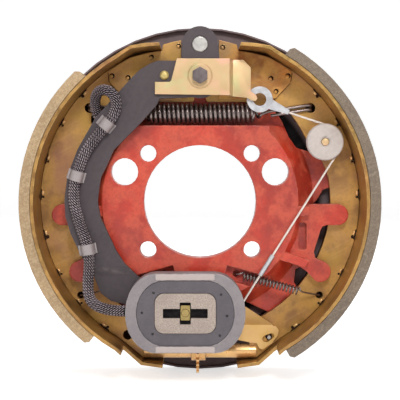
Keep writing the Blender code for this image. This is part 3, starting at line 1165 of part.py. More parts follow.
def make_pawl():
    """Lever that turns the star wheel when the cable pulls it up."""
    px, pz = PAWL_PIVOT
    front = PAWL_FRONT_Y
    back = front + PAWL_THICK
    fold = PAWL_FOLD_Z
    tip_z = ADJUSTER_Z + STAR_RADIUS + GAP
    outline = [(STAR_X - 1.2, tip_z + 0.4), (STAR_X + 2.0, tip_z), (34.4, -124.0), (44.0, -126.2),
               (50.4, -126.8), (52.6, -131.4), (56.1, -132.6), (64.0, -127.0), (69.4, -120.0), (70.2, -115.2),
               (67.5, fold), (14.0, fold), (STAR_X - 1.2, tip_z + 5.5)]
    slot = arc(px + 2.2, pz + 1.2, 2.3, -60.0, 120.0, 30.0) + arc(px - 2.6, pz - 1.4, 3.2, 120.0, 300.0, 30.0)
    pawl = plate("adjuster_pawl", outline, front, back, [slot])
    lean = PAWL_FLAP_LEAN
    hook_x, hook_z = CABLE_HOOK
    profile = [(back, fold - 1.0), (front, fold - 1.0), (front, fold + 1.0),
               (front - lean, hook_z + 3.6), (front - lean + PAWL_THICK, hook_z + 3.6),
               (back, fold + 1.2)]
    flap = section("pawl_flap", profile, 14.0, 68.0)
    shape = [(24.0, fold - 1.2), (66.0, fold - 1.2), (64.5, fold + 1.4), (40.5, hook_z + 2.8),
             (30.0, hook_z + 3.4), (27.0, hook_z)]
    within(flap, plate("pawl_flap_shape", shape, -60.0, 20.0))
    add(pawl, flap)
    cut(pawl, plate("pawl_cable_hole", disc(hook_x, hook_z, CABLE_RADIUS + 0.7, 45.0), -60.0, 0.0))
    keep(pawl, "zinc_pale", smooth=False)
    pin = turned("pawl_pin", [(0.0, front - 1.4), (1.5, front - 1.4), (1.7, front - 1.0),
                              (1.7, WEB_BACK_Y + 1.4), (0.0, WEB_BACK_Y + 1.4)], (px, 0.0, pz), steps=16)
    keep(pin, "steel")
    return pawl, pin


def main():
    clear_scene()
    make_casting()
    make_shield()
    make_anchor()
    make_bracket()
    left = make_shoe(-1, "primary", PRIMARY_LINING_DEG)
    right = make_shoe(1, "secondary", SECONDARY_LINING_DEG)
    lever = make_lever()
    magnet, held = make_magnet()
    lever += held + make_lead()
    make_retractor()
    make_hold_springs()
    make_adjuster_spring()
    pulley, stud = make_pulley()
    make_cable()
    screw = make_adjuster()
    pawl, pin = make_pawl()
    move_to_axis(lever, 0.0, LEVER_FRONT_Y, ANCHOR_Z)
    move_to_axis(magnet, MAGNET_X, MAGNET_FACE_Y, MAGNET_Z)
    move_to_axis(left, -ADJUSTER_END_X + 3.0, SHOE_MID_Y, ADJUSTER_Z)
    move_to_axis(right + [stud, pin], ADJUSTER_END_X - 3.0, SHOE_MID_Y, ADJUSTER_Z)
    move_to_axis([pulley], PULLEY[0], PULLEY_MID_Y, PULLEY[1])
    move_to_axis([screw], STAR_X, SHOE_MID_Y, ADJUSTER_Z)
    move_to_axis([pawl], PAWL_PIVOT[0], PAWL_FRONT_Y, PAWL_PIVOT[1])


if __name__ == "__main__":
    main()
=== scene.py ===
"""Electric trailer brake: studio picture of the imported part.

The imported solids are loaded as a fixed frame. Each sub-assembly is a class that refines the rigid
solids, sweeps the wires, braids the lead and gives every piece its finish.
"""

import logging
import math
from dataclasses import dataclass, replace
from enum import Enum
from typing import Dict, List, Optional, Sequence, Tuple, Union

import bmesh
import bpy
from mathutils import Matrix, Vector


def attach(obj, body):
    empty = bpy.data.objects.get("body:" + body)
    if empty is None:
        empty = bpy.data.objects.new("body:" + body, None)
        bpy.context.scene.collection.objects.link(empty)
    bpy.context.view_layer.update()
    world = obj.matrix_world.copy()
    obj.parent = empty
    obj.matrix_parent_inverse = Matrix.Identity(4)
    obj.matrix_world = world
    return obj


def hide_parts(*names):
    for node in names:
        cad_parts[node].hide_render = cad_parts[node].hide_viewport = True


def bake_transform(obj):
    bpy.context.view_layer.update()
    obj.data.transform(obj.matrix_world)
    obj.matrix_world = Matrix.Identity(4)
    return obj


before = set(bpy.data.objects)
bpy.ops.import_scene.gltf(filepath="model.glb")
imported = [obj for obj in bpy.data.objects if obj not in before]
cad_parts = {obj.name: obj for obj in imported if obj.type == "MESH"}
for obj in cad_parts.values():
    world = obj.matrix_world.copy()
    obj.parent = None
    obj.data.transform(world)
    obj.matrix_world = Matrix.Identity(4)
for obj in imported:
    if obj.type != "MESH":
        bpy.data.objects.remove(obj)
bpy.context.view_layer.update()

Point = Tuple[float, float, float]
Colour = Tuple[float, float, float]
MM = 0.001
LOG = logging.getLogger("brake")


class Side(Enum):
    """The two shoes, seen from the front."""

    PRIMARY = -1
    SECONDARY = 1


class Body(Enum):
    """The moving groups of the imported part."""

    BASE = "brake_base"
    LEVER = "lever"
    MAGNET = "magnet"
    PRIMARY = "primary_shoe"
    SECONDARY = "secondary_shoe"
    PULLEY = "pulley"
    PAWL = "pawl"
    STAR = "star_wheel"


class Edge(Enum):
    """How far a piece's edges are rounded, in millimetres, and in how many steps."""

    HAIR = (0.1, 2)
    FINE = (0.15, 2)
    SLIGHT = (0.2, 2)
    THIN = (0.3, 2)
    PLAIN = (0.35, 2)
    SOFT = (0.4, 2)
    FULL = (0.45, 3)
    BLUNT = (0.5, 2)
    ROUND = (0.5, 3)
    HEAVY = (0.9, 3)
    CAST = (1.1, 3)


@dataclass(frozen=True)
class Bend:
    """Two bodies and a line in millimetres that a piece runs between; nothing turns the piece by them."""

    first: Body
    second: Body
    start: Point
    end: Point


Mover = Union[Body, Bend]


def linear(red: int, green: int, blue: int) -> Colour:
    """Turns a display colour of 0 to 255 into a linear one.

    Args:
        red: The red part.
        green: The green part.
        blue: The blue part.

    Returns:
        The three linear parts.
    """
    parts = [value / 255.0 for value in (red, green, blue)]
    shaded = [part / 12.92 if part <= 0.04045 else ((part + 0.055) / 1.055) ** 2.4 for part in parts]
    return shaded[0], shaded[1], shaded[2]


# Node trees

SHADER = "ShaderNodeTree"
GEOMETRY = "GeometryNodeTree"


class Graph:
    """Builds one node tree, a shader or a geometry one."""

    def __init__(self, tree: bpy.types.NodeTree) -> None:
        """Keeps the tree that is built."""
        self.tree = tree

    def add(self, kind: str, inputs: Optional[Dict[object, object]] = None,
            **settings: object) -> bpy.types.Node:
        """Adds a node.

        Args:
            kind: The node's type.
            inputs: Values, or sockets to link from, by input name or number.
            settings: The node's own settings.

        Returns:
            The new node.
        """
        node = self.tree.nodes.new(kind)
        for key, value in settings.items():
            setattr(node, key, value)
        for key, value in (inputs or {}).items():
            if isinstance(value, bpy.types.NodeSocket):
                self.link(value, node.inputs[key])
            else:
                node.inputs[key].default_value = value
        return node

    def first(self, kind: str, inputs: Optional[Dict[object, object]] = None,
              **settings: object) -> bpy.types.NodeSocket:
        """Adds a node and gives its first output."""
        return self.add(kind, inputs, **settings).outputs[0]

    def link(self, source: bpy.types.NodeSocket, target: bpy.types.NodeSocket) -> None:
        """Joins an output to an input."""
        self.tree.links.new(source, target)

    def math(self, operation: str, *values: object, clamp: bool = False) -> bpy.types.NodeSocket:
        """The result of a math node on numbers or sockets."""
        return self.first("ShaderNodeMath", dict(enumerate(values)), operation=operation, use_clamp=clamp)

    def vector(self, operation: str, *values: object, scale: object = None) -> bpy.types.NodeSocket:
        """Adds a vector math node and gives its vector.

        Args:
            operation: The sum to do.
            values: Vectors or sockets.
            scale: The factor of a scaling.

        Returns:
            The vector socket.
        """
        inputs = dict(enumerate(values))
        if scale is not None:
            inputs["Scale"] = scale
        return self.first("ShaderNodeVectorMath", inputs, operation=operation)

    def combine(self, x: object, y: object, z: object) -> bpy.types.NodeSocket:
        """A vector of three numbers or sockets."""
        return self.first("ShaderNodeCombineXYZ", {"X": x, "Y": y, "Z": z})

    def ramp(self, factor: object, low: object, high: object) -> bpy.types.NodeSocket:
        """Stretches the part of a value between two limits to 0 and 1, smoothly."""
        return self.first("ShaderNodeMapRange", {"Value": factor, "From Min": low, "From Max": high},
                          interpolation_type="SMOOTHSTEP")

    def blend(self, factor: object, first: object, second: object) -> bpy.types.NodeSocket:
        """Mixes two colours.

        Args:
            factor: The share of the second colour.
            first: The colour at 0.
            second: The colour at 1.

        Returns:
            The mixed colour socket.
        """
        ends = [end if isinstance(end, bpy.types.NodeSocket) else (*end, 1.0) for end in (first, second)]
        mix = self.add("ShaderNodeMix", {0: factor, 6: ends[0], 7: ends[1]}, data_type="RGBA")
        return mix.outputs[2]

    def noise(self, scale: object, detail: float = 3.0, roughness: float = 0.55,
              vector: Optional[bpy.types.NodeSocket] = None) -> bpy.types.NodeSocket:
        """Adds noise on the piece's own coordinates.

        Args:
            scale: Waves per metre.
            detail: Octaves.
            roughness: Weight of the fine octaves.
            vector: Coordinates, where not the plain ones.

        Returns:
            The noise value socket.
        """
        place = vector or self.add("ShaderNodeTexCoord").outputs["Object"]
        return self.add("ShaderNodeTexNoise", {"Vector": place, "Scale": scale, "Detail": detail,
                                               "Roughness": roughness}).outputs["Fac"]

    def resample(self, path: object, step: object) -> bpy.types.NodeSocket:
        """Even points along a curve."""
        return self.first("GeometryNodeResampleCurve", {"Curve": path, "Length": step}, mode="LENGTH")

    def tube(self, path: object, radius: object, sides: object, caps: bool = True) -> bpy.types.NodeSocket:
        """Sweeps a circle along a curve, with closed ends or open ones."""
        ring = self.first("GeometryNodeCurvePrimitiveCircle", {"Resolution": sides, "Radius": radius})
        return self.first("GeometryNodeCurveToMesh", {"Curve": path, "Profile Curve": ring,
                                                      "Fill Caps": caps})

    def dress(self, piece: object, finish: object) -> bpy.types.NodeSocket:
        """Gives geometry its material."""
        return self.first("GeometryNodeSetMaterial", {"Geometry": piece, "Material": finish})

    def join(self, pieces: Sequence[bpy.types.NodeSocket]) -> bpy.types.NodeSocket:
        """Joins geometry.

        Args:
            pieces: What is joined, in this order.

        Returns:
            The joined geometry's socket.
        """
        joined = self.add("GeometryNodeJoinGeometry")
        for piece in pieces:
            self.link(piece, joined.inputs[0])
        return joined.outputs[0]

    def uneven(self, amount: object, seed: int) -> bpy.types.NodeSocket:
        """A size between 1 less an amount and 1, drawn for each point."""
        least = self.math("SUBTRACT", 1.0, amount)
        return self.add("FunctionNodeRandomValue", {"Seed": seed, 2: least, 3: 1.0},
                        data_type="FLOAT").outputs[1]

    def close(self, piece: bpy.types.NodeSocket, result: bpy.types.Node) -> bpy.types.NodeTree:
        """Ends a geometry tree with a smooth, real mesh.

        Args:
            piece: The geometry so far.
            result: The tree's output node.

        Returns:
            The finished tree.
        """
        smooth = self.first("GeometryNodeSetShadeSmooth", {"Geometry": piece})
        self.link(self.first("GeometryNodeRealizeInstances", {"Geometry": smooth}), result.inputs[0])
        return self.tree


def socket_type(value: object) -> str:
    """The socket type for a default value, or for a bare kind such as "Material"."""
    return "NodeSocket" + {bool: "Bool", int: "Int", float: "Float"}.get(type(value), value)


def open_group(name: str, kind: str, inputs: Dict[str, object],
               outputs: Dict[str, str]) -> Tuple[Graph, Sequence[bpy.types.NodeSocket], bpy.types.Node]:
    """Starts a node group with named sockets.

    Args:
        name: The group's name.
        kind: SHADER or GEOMETRY.
        inputs: Each input's default, or its kind where it has none.
        outputs: Each output's kind.

    Returns:
        The graph, what it is given and its output node.
    """
    tree = bpy.data.node_groups.new(name, kind)
    for label, value in inputs.items():
        socket = tree.interface.new_socket(label, in_out="INPUT", socket_type=socket_type(value))
        if not isinstance(value, str):
            socket.default_value = value
    for label, value in outputs.items():
        tree.interface.new_socket(label, in_out="OUTPUT", socket_type=socket_type(value))
    graph = Graph(tree)
    return graph, graph.add("NodeGroupInput").outputs, graph.add("NodeGroupOutput")


BEND_LIMITS = (0.02, 0.16)
BREAK_LIMITS = (0.42, 0.62)
STREAK_LIMITS = (0.58, 0.72)
UPWARD_LIMITS = (0.1, 0.95)
DUST_LIMITS = (0.35, 0.7)
TONE_TOP = 1.02
TONE_SPREAD = 0.3


def rubbed_and_lit_edge_group() -> bpy.types.NodeTree:
    """Rounded edges, and a mask along them broken by noise: rubbed-off coat, and on the casting and the rim
    a painted highlight.

    Returns:
        The shader group, with outputs Mask and Normal.
    """
    graph, given, result = open_group(
        "rubbed_and_lit_edges", SHADER, {"Width": 0.0006, "Breaks": 180.0, "Amount": 0.5},
        {"Mask": "Float", "Normal": "Vector"})
    rounded = graph.first("ShaderNodeBevel", {"Radius": given["Width"]}, samples=6)
    flat = graph.add("ShaderNodeNewGeometry").outputs["True Normal"]
    turn = graph.add("ShaderNodeVectorMath", {0: rounded, 1: flat}, operation="DOT_PRODUCT")
    bend = graph.ramp(graph.math("SUBTRACT", 1.0, turn.outputs["Value"]), *BEND_LIMITS)
    broken = graph.ramp(graph.noise(given["Breaks"], 4.0), *BREAK_LIMITS)
    mask = graph.math("MULTIPLY", graph.math("MULTIPLY", bend, broken), given["Amount"], clamp=True)
    graph.link(mask, result.inputs["Mask"])
    graph.link(rounded, result.inputs["Normal"])
    return graph.tree


def tone_group() -> bpy.types.NodeTree:
    """Slow and fast changes of tone over a surface.

    Returns:
        The shader group, with outputs Broad, Fine and Speck.
    """
    graph, given, result = open_group(
        "surface_tone", SHADER,
        {"Broad Scale": 14.0, "Fine Scale": 140.0, "Speck Scale": 700.0, "Contrast": 0.5},
        {"Broad": "Float", "Fine": "Float", "Speck": "Float"})
    half = graph.math("MULTIPLY", graph.math("SUBTRACT", TONE_TOP, given["Contrast"]), TONE_SPREAD)
    low = graph.math("SUBTRACT", 0.5, half)
    high = graph.math("ADD", 0.5, half)
    for label, detail in (("Broad", 3.0), ("Fine", 4.0), ("Speck", 2.0)):
        value = graph.noise(given[label + " Scale"], detail)
        graph.link(graph.ramp(value, low, high), result.inputs[label])
    return graph.tree


def grain_group() -> bpy.types.NodeTree:
    """Height of a fine surface grain, with a second, longer wave.

    Returns:
        The shader group, with output Height.
    """
    graph, given, result = open_group(
        "surface_grain", SHADER, {"Grain Scale": 900.0, "Wave Scale": 90.0, "Wave Share": 0.4},
        {"Height": "Float"})
    fine = graph.noise(given["Grain Scale"], 3.0, 0.6)
    wave = graph.noise(given["Wave Scale"], 3.0)
    height = graph.first("ShaderNodeMix", {0: given["Wave Share"], 2: fine, 3: wave}, data_type="FLOAT")
    graph.link(height, result.inputs["Height"])
    return graph.tree


def streak_group() -> bpy.types.NodeTree:
    """Long thin marks, as rolling and handling leave on sheet steel.

    Returns:
        The shader group, with output Mask.
    """
    graph, given, result = open_group(
        "handling_marks", SHADER, {"Length": 18.0, "Density": 900.0, "Turn": 0.5}, {"Mask": "Float"})
    place = graph.add("ShaderNodeTexCoord").outputs["Object"]
    turned = graph.first("ShaderNodeVectorRotate", {"Vector": place, "Angle": given["Turn"]},
                         rotation_type="Y_AXIS")
    size = graph.combine(given["Length"], given["Length"], given["Density"])
    marks = graph.noise(1.0, 2.0, 0.5, graph.vector("MULTIPLY", turned, size))
    graph.link(graph.ramp(marks, *STREAK_LIMITS), result.inputs["Mask"])
    return graph.tree


def dust_group() -> bpy.types.NodeTree:
    """Dust that settles on what faces up, broken by noise.

    Returns:
        The shader group, with output Mask.
    """
    graph, given, result = open_group("settled_dust", SHADER, {"Amount": 0.2, "Scale": 60.0},
                                      {"Mask": "Float"})
    facing = graph.add("ShaderNodeNewGeometry").outputs["Normal"]
    up = graph.add("ShaderNodeSeparateXYZ", {"Vector": facing}).outputs["Z"]
    broken = graph.ramp(graph.noise(given["Scale"], 5.0), *DUST_LIMITS)
    settled = graph.math("MULTIPLY", graph.ramp(up, *UPWARD_LIMITS), broken)
    graph.link(graph.math("MULTIPLY", settled, given["Amount"], clamp=True), result.inputs["Mask"])
    return graph.tree


GROUPS: Dict[str, bpy.types.NodeTree] = {}


def effect(name: str) -> bpy.types.NodeTree:
    """Gives a shared effect, which is built at its first use.

    Args:
        name: The effect's name.

    Returns:
        The shader group.
    """
    makers = {"rub_and_highlight": rubbed_and_lit_edge_group, "tone": tone_group, "grain": grain_group,
              "streaks": streak_group, "dust": dust_group}
    if name not in GROUPS:
        GROUPS[name] = makers[name]()
    return GROUPS[name]


# Finishes

DUST_COLOUR = (0.42, 0.40, 0.37)
DUST_ROUGHNESS = 0.3
COAT_ROUGHNESS = 0.18
SPECK_LIMITS = (0.55, 0.95)
FILM_LIMITS = ((0.52, 0.72), (0.48, 0.30))
SEAT_FRONT = (0.0212, 0.0206)


@dataclass(frozen=True)
class Finish:
    """A surface finish: three tones, gloss, grain, edges that are rubbed or carry a painted highlight,
    marks and dust.
    """

    name: str
    colour: Colour
    shade: Colour
    accent: Colour
    roughness: Tuple[float, float] = (0.35, 0.5)
    metallic: float = 0.0
    coat: float = 0.0
    specular: float = 0.5
    broad_scale: float = 14.0
    fine_scale: float = 140.0
    speck_scale: float = 700.0
    contrast: float = 0.5
    shade_share: float = 0.5
    accent_share: float = 0.35
    speck_share: float = 0.0
    grain_scale: float = 900.0
    wave_scale: float = 90.0
    wave_share: float = 0.4
    grain_depth: float = 0.00008
    edge_width: float = 0.0005
    rub_and_highlight: float = 0.3
    rub_and_highlight_colour: Colour = (0.5, 0.48, 0.45)
    marks: float = 0.0
    mark_colour: Colour = (0.6, 0.55, 0.45)
    mark_turn: float = 0.5
    dust: float = 0.0

    def group(self, graph: Graph, name: str, **inputs: float) -> bpy.types.Node:
        """Places a shared effect with this finish's own values.

        Args:
            graph: The material's tree.
            name: The effect's name.
            inputs: Values by input name, with _ for a space.

        Returns:
            The group node.
        """
        node = graph.add("ShaderNodeGroup", node_tree=effect(name))
        for key, value in inputs.items():
            node.inputs[key.replace("_", " ")].default_value = value
        return node

    def tones(self, graph: Graph) -> Tuple[bpy.types.NodeSocket, bpy.types.Node]:
        """Base colour before wear and dust.

        Args:
            graph: The material's tree.

        Returns:
            The colour socket and the tone group's node.
        """
        tone = self.group(graph, "tone", Broad_Scale=self.broad_scale, Fine_Scale=self.fine_scale,
                          Speck_Scale=self.speck_scale, Contrast=self.contrast)
        shaded = graph.math("MULTIPLY", tone.outputs["Broad"], self.shade_share)
        colour = graph.blend(shaded, self.colour, self.shade)
        tinted = graph.math("MULTIPLY", tone.outputs["Fine"], self.accent_share)
        colour = graph.blend(tinted, colour, self.accent)
        if self.speck_share:
            specks = graph.ramp(tone.outputs["Speck"], *SPECK_LIMITS)
            specks = graph.math("MULTIPLY", specks, self.speck_share)
            colour = graph.blend(specks, colour, self.shade)
        return colour, tone

    def build(self) -> bpy.types.Material:
        """Builds the material.

        Returns:
            The new material.
        """
        material = bpy.data.materials.new(self.name)
        material.use_nodes = True
        graph = Graph(material.node_tree)
        shader = material.node_tree.nodes["Principled BSDF"]
        colour, tone = self.tones(graph)
        if self.marks:
            streaks = self.group(graph, "streaks", Turn=self.mark_turn)
            colour = graph.blend(graph.math("MULTIPLY", streaks.outputs["Mask"], self.marks), colour,
                                 self.mark_colour)
        # Edge colour: rubbed-off coat on most finishes, and on the casting and the rim a painted highlight
        # along the edges.
        rub_and_highlight = self.group(graph, "rub_and_highlight", Width=self.edge_width, Amount=self.rub_and_highlight)
        colour = graph.blend(rub_and_highlight.outputs["Mask"], colour, self.rub_and_highlight_colour)
        rough = graph.add("ShaderNodeMapRange", {"Value": tone.outputs["Fine"], "To Min": self.roughness[0],
                                                 "To Max": self.roughness[1]}).outputs["Result"]
        if self.dust:
            dust = self.group(graph, "dust", Amount=self.dust)
            colour = graph.blend(dust.outputs["Mask"], colour, DUST_COLOUR)
            matt = graph.math("MULTIPLY", dust.outputs["Mask"], DUST_ROUGHNESS)
            rough = graph.math("ADD", rough, matt, clamp=True)
        grain = self.group(graph, "grain", Grain_Scale=self.grain_scale, Wave_Scale=self.wave_scale,
                           Wave_Share=self.wave_share)
        bump = graph.first("ShaderNodeBump", {
            "Strength": 1.0, "Distance": self.grain_depth, "Height": grain.outputs["Height"],
            "Normal": rub_and_highlight.outputs["Normal"]})
        graph.link(colour, shader.inputs["Base Color"])
        graph.link(rough, shader.inputs["Roughness"])
        graph.link(bump, shader.inputs["Normal"])
        shader.inputs["Metallic"].default_value = self.metallic
        shader.inputs["Specular IOR Level"].default_value = self.specular
        shader.inputs["Coat Weight"].default_value = self.coat
        shader.inputs["Coat Roughness"].default_value = COAT_ROUGHNESS
        return material


@dataclass(frozen=True)
class PlatedFinish(Finish):
    """Zinc plating whose film drifts between several tints."""

    film: Tuple[Colour, Colour] = ((0.45, 0.30, 0.22), (0.36, 0.40, 0.22))
    film_scale: float = 22.0
    film_share: float = 0.3

    def tones(self, graph: Graph) -> Tuple[bpy.types.NodeSocket, bpy.types.Node]:
        """Base colour with the drifting film.

        Args:
            graph: The material's tree.

        Returns:
            The colour socket and the tone group's node.
        """
        colour, tone = super().tones(graph)
        drift = graph.noise(self.film_scale, 2.0)
        for limits, tint in zip(FILM_LIMITS, self.film):
            share = graph.math("MULTIPLY", graph.ramp(drift, *limits), self.film_share)
            colour = graph.blend(share, colour, tint)
        return colour, tone


@dataclass(frozen=True)
class StrandFinish(Finish):
    """Braid or rope: the tone follows the strand's own attribute. On the braid the counter-wound strands'
    light tone is a painted highlight for the glints.
    """

    second: Colour = (0.4, 0.38, 0.4)

    def tones(self, graph: Graph) -> Tuple[bpy.types.NodeSocket, bpy.types.Node]:
        """Base colour from the strand's tone.

        Args:
            graph: The material's tree.

        Returns:
            The colour socket and the tone group's node.
        """
        colour, tone = super().tones(graph)
        strand = graph.add("ShaderNodeAttribute", attribute_name="strand_tone")
        return graph.blend(strand.outputs["Fac"], colour, self.second), tone


class Zone(Enum):
    """What bounds the darker part of a zoned finish."""

    SEAT = "distance from the brake's axis, on the front of the flat"
    DEPTH = "depth behind the front face"


@dataclass(frozen=True)
class ZonedFinish(Finish):
    """A finish with a zone of its own colour, bounded by depth or by distance from the axis: on the
    shield's seat and in the core's pit the dark zone is painted shade, and on the magnet's lips the zone is
    a lighter front face.
    """

    zone_colour: Colour = (0.01, 0.01, 0.01)
    zone_kind: Zone = Zone.DEPTH
    zone_start: float = 0.0
    zone_end: float = 0.001

    def tones(self, graph: Graph) -> Tuple[bpy.types.NodeSocket, bpy.types.Node]:
        """Base colour with the zone's colour, which is painted shade where it is dark.

        Args:
            graph: The material's tree.

        Returns:
            The colour socket and the tone group's node.
        """
        colour, tone = super().tones(graph)
        place = graph.add("ShaderNodeTexCoord").outputs["Object"]
        parts = graph.add("ShaderNodeSeparateXYZ", {"Vector": place}).outputs
        if self.zone_kind is Zone.DEPTH:
            share = graph.ramp(parts["Y"], self.zone_start, self.zone_end)
        else:
            flat = graph.combine(parts["X"], 0.0, parts["Z"])
            span = graph.add("ShaderNodeVectorMath", {0: flat}, operation="LENGTH").outputs["Value"]
            near = graph.ramp(span, self.zone_end, self.zone_start)
            front = graph.ramp(parts["Y"], *SEAT_FRONT)
            share = graph.math("MULTIPLY", graph.math("SUBTRACT", 1.0, near), front, clamp=True)
        return graph.blend(share, colour, self.zone_colour), tone


class Finishes:
    """All finishes of the brake, each built once."""

    def __init__(self) -> None:
        """Builds every finish."""
        self.casting = Finish(
            "red_casting_paint", linear(196, 56, 36), linear(132, 44, 36), linear(218, 96, 68),
            roughness=(0.36, 0.58), coat=0.15, broad_scale=17.0, fine_scale=62.0, contrast=0.72,
            shade_share=0.6, accent_share=0.5, speck_scale=420.0, speck_share=0.18,
            grain_scale=1100.0, wave_scale=150.0, wave_share=0.55, grain_depth=0.00042,
            # The lighter pink on the edges is a painted highlight along the rounded rims, broken like
            # rubbed paint.
            edge_width=0.0018, rub_and_highlight=0.7, rub_and_highlight_colour=linear(232, 140, 116), marks=0.2,
            mark_colour=linear(120, 52, 44), mark_turn=0.9, dust=0.12).build()
        self.shield = ZonedFinish(
            "shield_black_paint", linear(122, 106, 107), linear(98, 85, 87), linear(134, 119, 119),
            roughness=(0.45, 0.6), specular=0.1, rub_and_highlight=0.35, rub_and_highlight_colour=linear(160, 150, 148),
            grain_depth=0.00005, dust=0.2, marks=0.12, mark_colour=linear(134, 122, 120),
            # Painted shade: inside 106 to 112 mm from the axis the shield's front is near-black, where the
            # casting's windows show only shadow.
            zone_colour=linear(5, 2, 3), zone_kind=Zone.SEAT, zone_start=0.112,
            zone_end=0.106).build()
        self.lever = Finish(
            "lever_black_coat", linear(72, 62, 65), linear(56, 49, 51), linear(86, 76, 78),
            roughness=(0.44, 0.6), specular=0.38, metallic=0.05, broad_scale=11.0, fine_scale=240.0,
            contrast=0.6, grain_scale=1400.0, grain_depth=0.00006, edge_width=0.0006, rub_and_highlight=0.3,
            rub_and_highlight_colour=linear(196, 184, 178), dust=0.08, marks=0.14,
            mark_colour=linear(100, 90, 92), mark_turn=1.1).build()
        gold = PlatedFinish(
            "yellow_zinc_plate", linear(192, 146, 88), linear(132, 93, 56), linear(212, 164, 86),
            roughness=(0.36, 0.54), metallic=0.5, broad_scale=19.0, fine_scale=62.0, contrast=0.66,
            shade_share=0.8, accent_share=0.55, speck_scale=380.0, speck_share=0.14, wave_scale=40.0,
            grain_depth=0.00008, edge_width=0.0006, rub_and_highlight=0.8, rub_and_highlight_colour=linear(244, 214, 146),
            marks=0.22, mark_colour=linear(214, 176, 124),
            film=(linear(168, 118, 98), linear(186, 146, 66)), film_share=0.6, dust=0.08)
        self.gold = gold.build()
        self.warm_gold = replace(
            gold, name="warm_zinc_plate", colour=linear(192, 134, 72), shade=linear(140, 84, 42),
            film=(linear(214, 118, 44), linear(160, 126, 84)), film_scale=34.0, film_share=0.85).build()
        self.table = PlatedFinish(
            "yellow_zinc_rim", linear(168, 126, 70), linear(108, 74, 44), linear(204, 160, 90),
            roughness=(0.3, 0.5), metallic=0.6, broad_scale=26.0, fine_scale=110.0, shade_share=0.65,
            # The near-white edge colour is a painted highlight along the rim's edges, broken like rubbed
            # plating.
            accent_share=0.5, grain_depth=0.00008, edge_width=0.0009, rub_and_highlight=1.0,
            rub_and_highlight_colour=linear(252, 222, 150), film=(linear(176, 120, 84), linear(156, 134, 72)),
            film_share=0.4, marks=0.2, mark_colour=linear(222, 182, 118)).build()
        self.tube = PlatedFinish(
            "bright_yellow_zinc", linear(240, 190, 128), linear(200, 146, 84), linear(248, 210, 150),
            roughness=(0.26, 0.42), metallic=0.6, broad_scale=40.0, fine_scale=160.0, shade_share=0.5,
            accent_share=0.4, grain_depth=0.00005, edge_width=0.0005, rub_and_highlight=0.8,
            rub_and_highlight_colour=linear(252, 232, 186), film=(linear(232, 156, 104), linear(214, 184, 104)),
            film_share=0.4).build()
        pale = PlatedFinish(
            "pale_zinc_plate", linear(208, 175, 130), linear(190, 156, 112), linear(218, 188, 146),
            roughness=(0.36, 0.5), metallic=0.35, specular=0.4, broad_scale=24.0, fine_scale=60.0,
            contrast=0.3, shade_share=0.5, accent_share=0.3, grain_depth=0.00002, edge_width=0.0005,
            rub_and_highlight=0.6, rub_and_highlight_colour=linear(252, 240, 206),
            film=(linear(232, 172, 152), linear(188, 192, 136)), film_scale=44.0, film_share=0.6,
            marks=0.06, mark_colour=linear(238, 222, 190))
        self.pale = pale.build()
        self.pawl = replace(
            pale, name="pawl_zinc_plate", colour=linear(226, 184, 118), shade=linear(196, 150, 90),
            accent=linear(234, 196, 134), film=(linear(222, 160, 140), linear(212, 170, 88)),
            rub_and_highlight_colour=linear(248, 226, 170)).build()
        self.steel = Finish(
            "bare_steel", linear(180, 176, 171), linear(150, 146, 142), linear(198, 194, 190),
            roughness=(0.34, 0.5), metallic=0.6, fine_scale=260.0, grain_depth=0.00004, rub_and_highlight=0.4,
            rub_and_highlight_colour=linear(226, 223, 218), marks=0.2, mark_colour=linear(206, 203, 198)).build()
        self.strap = Finish(
            "strap_steel", linear(156, 146, 145), linear(128, 119, 119), linear(172, 163, 161),
            roughness=(0.45, 0.6), metallic=0.35, fine_scale=260.0, grain_depth=0.00004, rub_and_highlight=0.5,
            rub_and_highlight_colour=linear(200, 193, 190)).build()
        self.dark_steel = Finish(
            "dark_bolt_steel", linear(106, 95, 95), linear(76, 68, 70), linear(130, 120, 119),
            roughness=(0.32, 0.46), metallic=0.6, fine_scale=260.0, grain_depth=0.00004, rub_and_highlight=0.8,
            rub_and_highlight_colour=linear(200, 188, 180)).build()
        self.spring = Finish(
            "black_spring_wire", linear(132, 118, 114), linear(98, 86, 84), linear(158, 145, 140),
            roughness=(0.26, 0.38), metallic=0.8, coat=0.25, fine_scale=300.0, rub_and_highlight=0.0,
            edge_width=0.0002, grain_depth=0.00002).build()
        lining = Finish(
            "friction_lining", linear(182, 152, 114), linear(146, 120, 90), linear(204, 180, 146),
            roughness=(0.75, 0.95), broad_scale=24.0, fine_scale=420.0, speck_scale=1500.0,
            contrast=0.7, shade_share=0.5, accent_share=0.5, speck_share=0.6, grain_scale=1600.0,
            wave_scale=260.0, wave_share=0.35, grain_depth=0.00035, edge_width=0.0007, rub_and_highlight=0.5,
            rub_and_highlight_colour=linear(214, 198, 176), marks=0.25, mark_colour=linear(208, 186, 154))
        self.lining = lining.build()
        self.grey_lining = replace(
            lining, name="grey_friction_lining", colour=linear(124, 108, 92), shade=linear(98, 86, 75),
            accent=linear(152, 137, 120), mark_colour=linear(166, 152, 134)).build()
        self.magnet = ZonedFinish(
            "magnet_shell", linear(138, 130, 132), linear(116, 109, 113), linear(160, 150, 148),
            roughness=(0.46, 0.64), metallic=0.2, broad_scale=30.0, fine_scale=150.0,
            speck_scale=520.0, grain_scale=1200.0, grain_depth=0.00014, edge_width=0.0016, rub_and_highlight=0.8,
            rub_and_highlight_colour=linear(206, 196, 192), speck_share=0.25, zone_colour=linear(182, 168, 164),
            zone_kind=Zone.DEPTH, zone_start=-0.0404, zone_end=-0.0407).build()
        self.potting = Finish(
            "coil_potting", linear(90, 84, 89), linear(74, 69, 74), linear(108, 101, 105),
            roughness=(0.5, 0.7), broad_scale=30.0, fine_scale=160.0, grain_scale=900.0,
            grain_depth=0.00015, rub_and_highlight=0.1, speck_share=0.25).build()
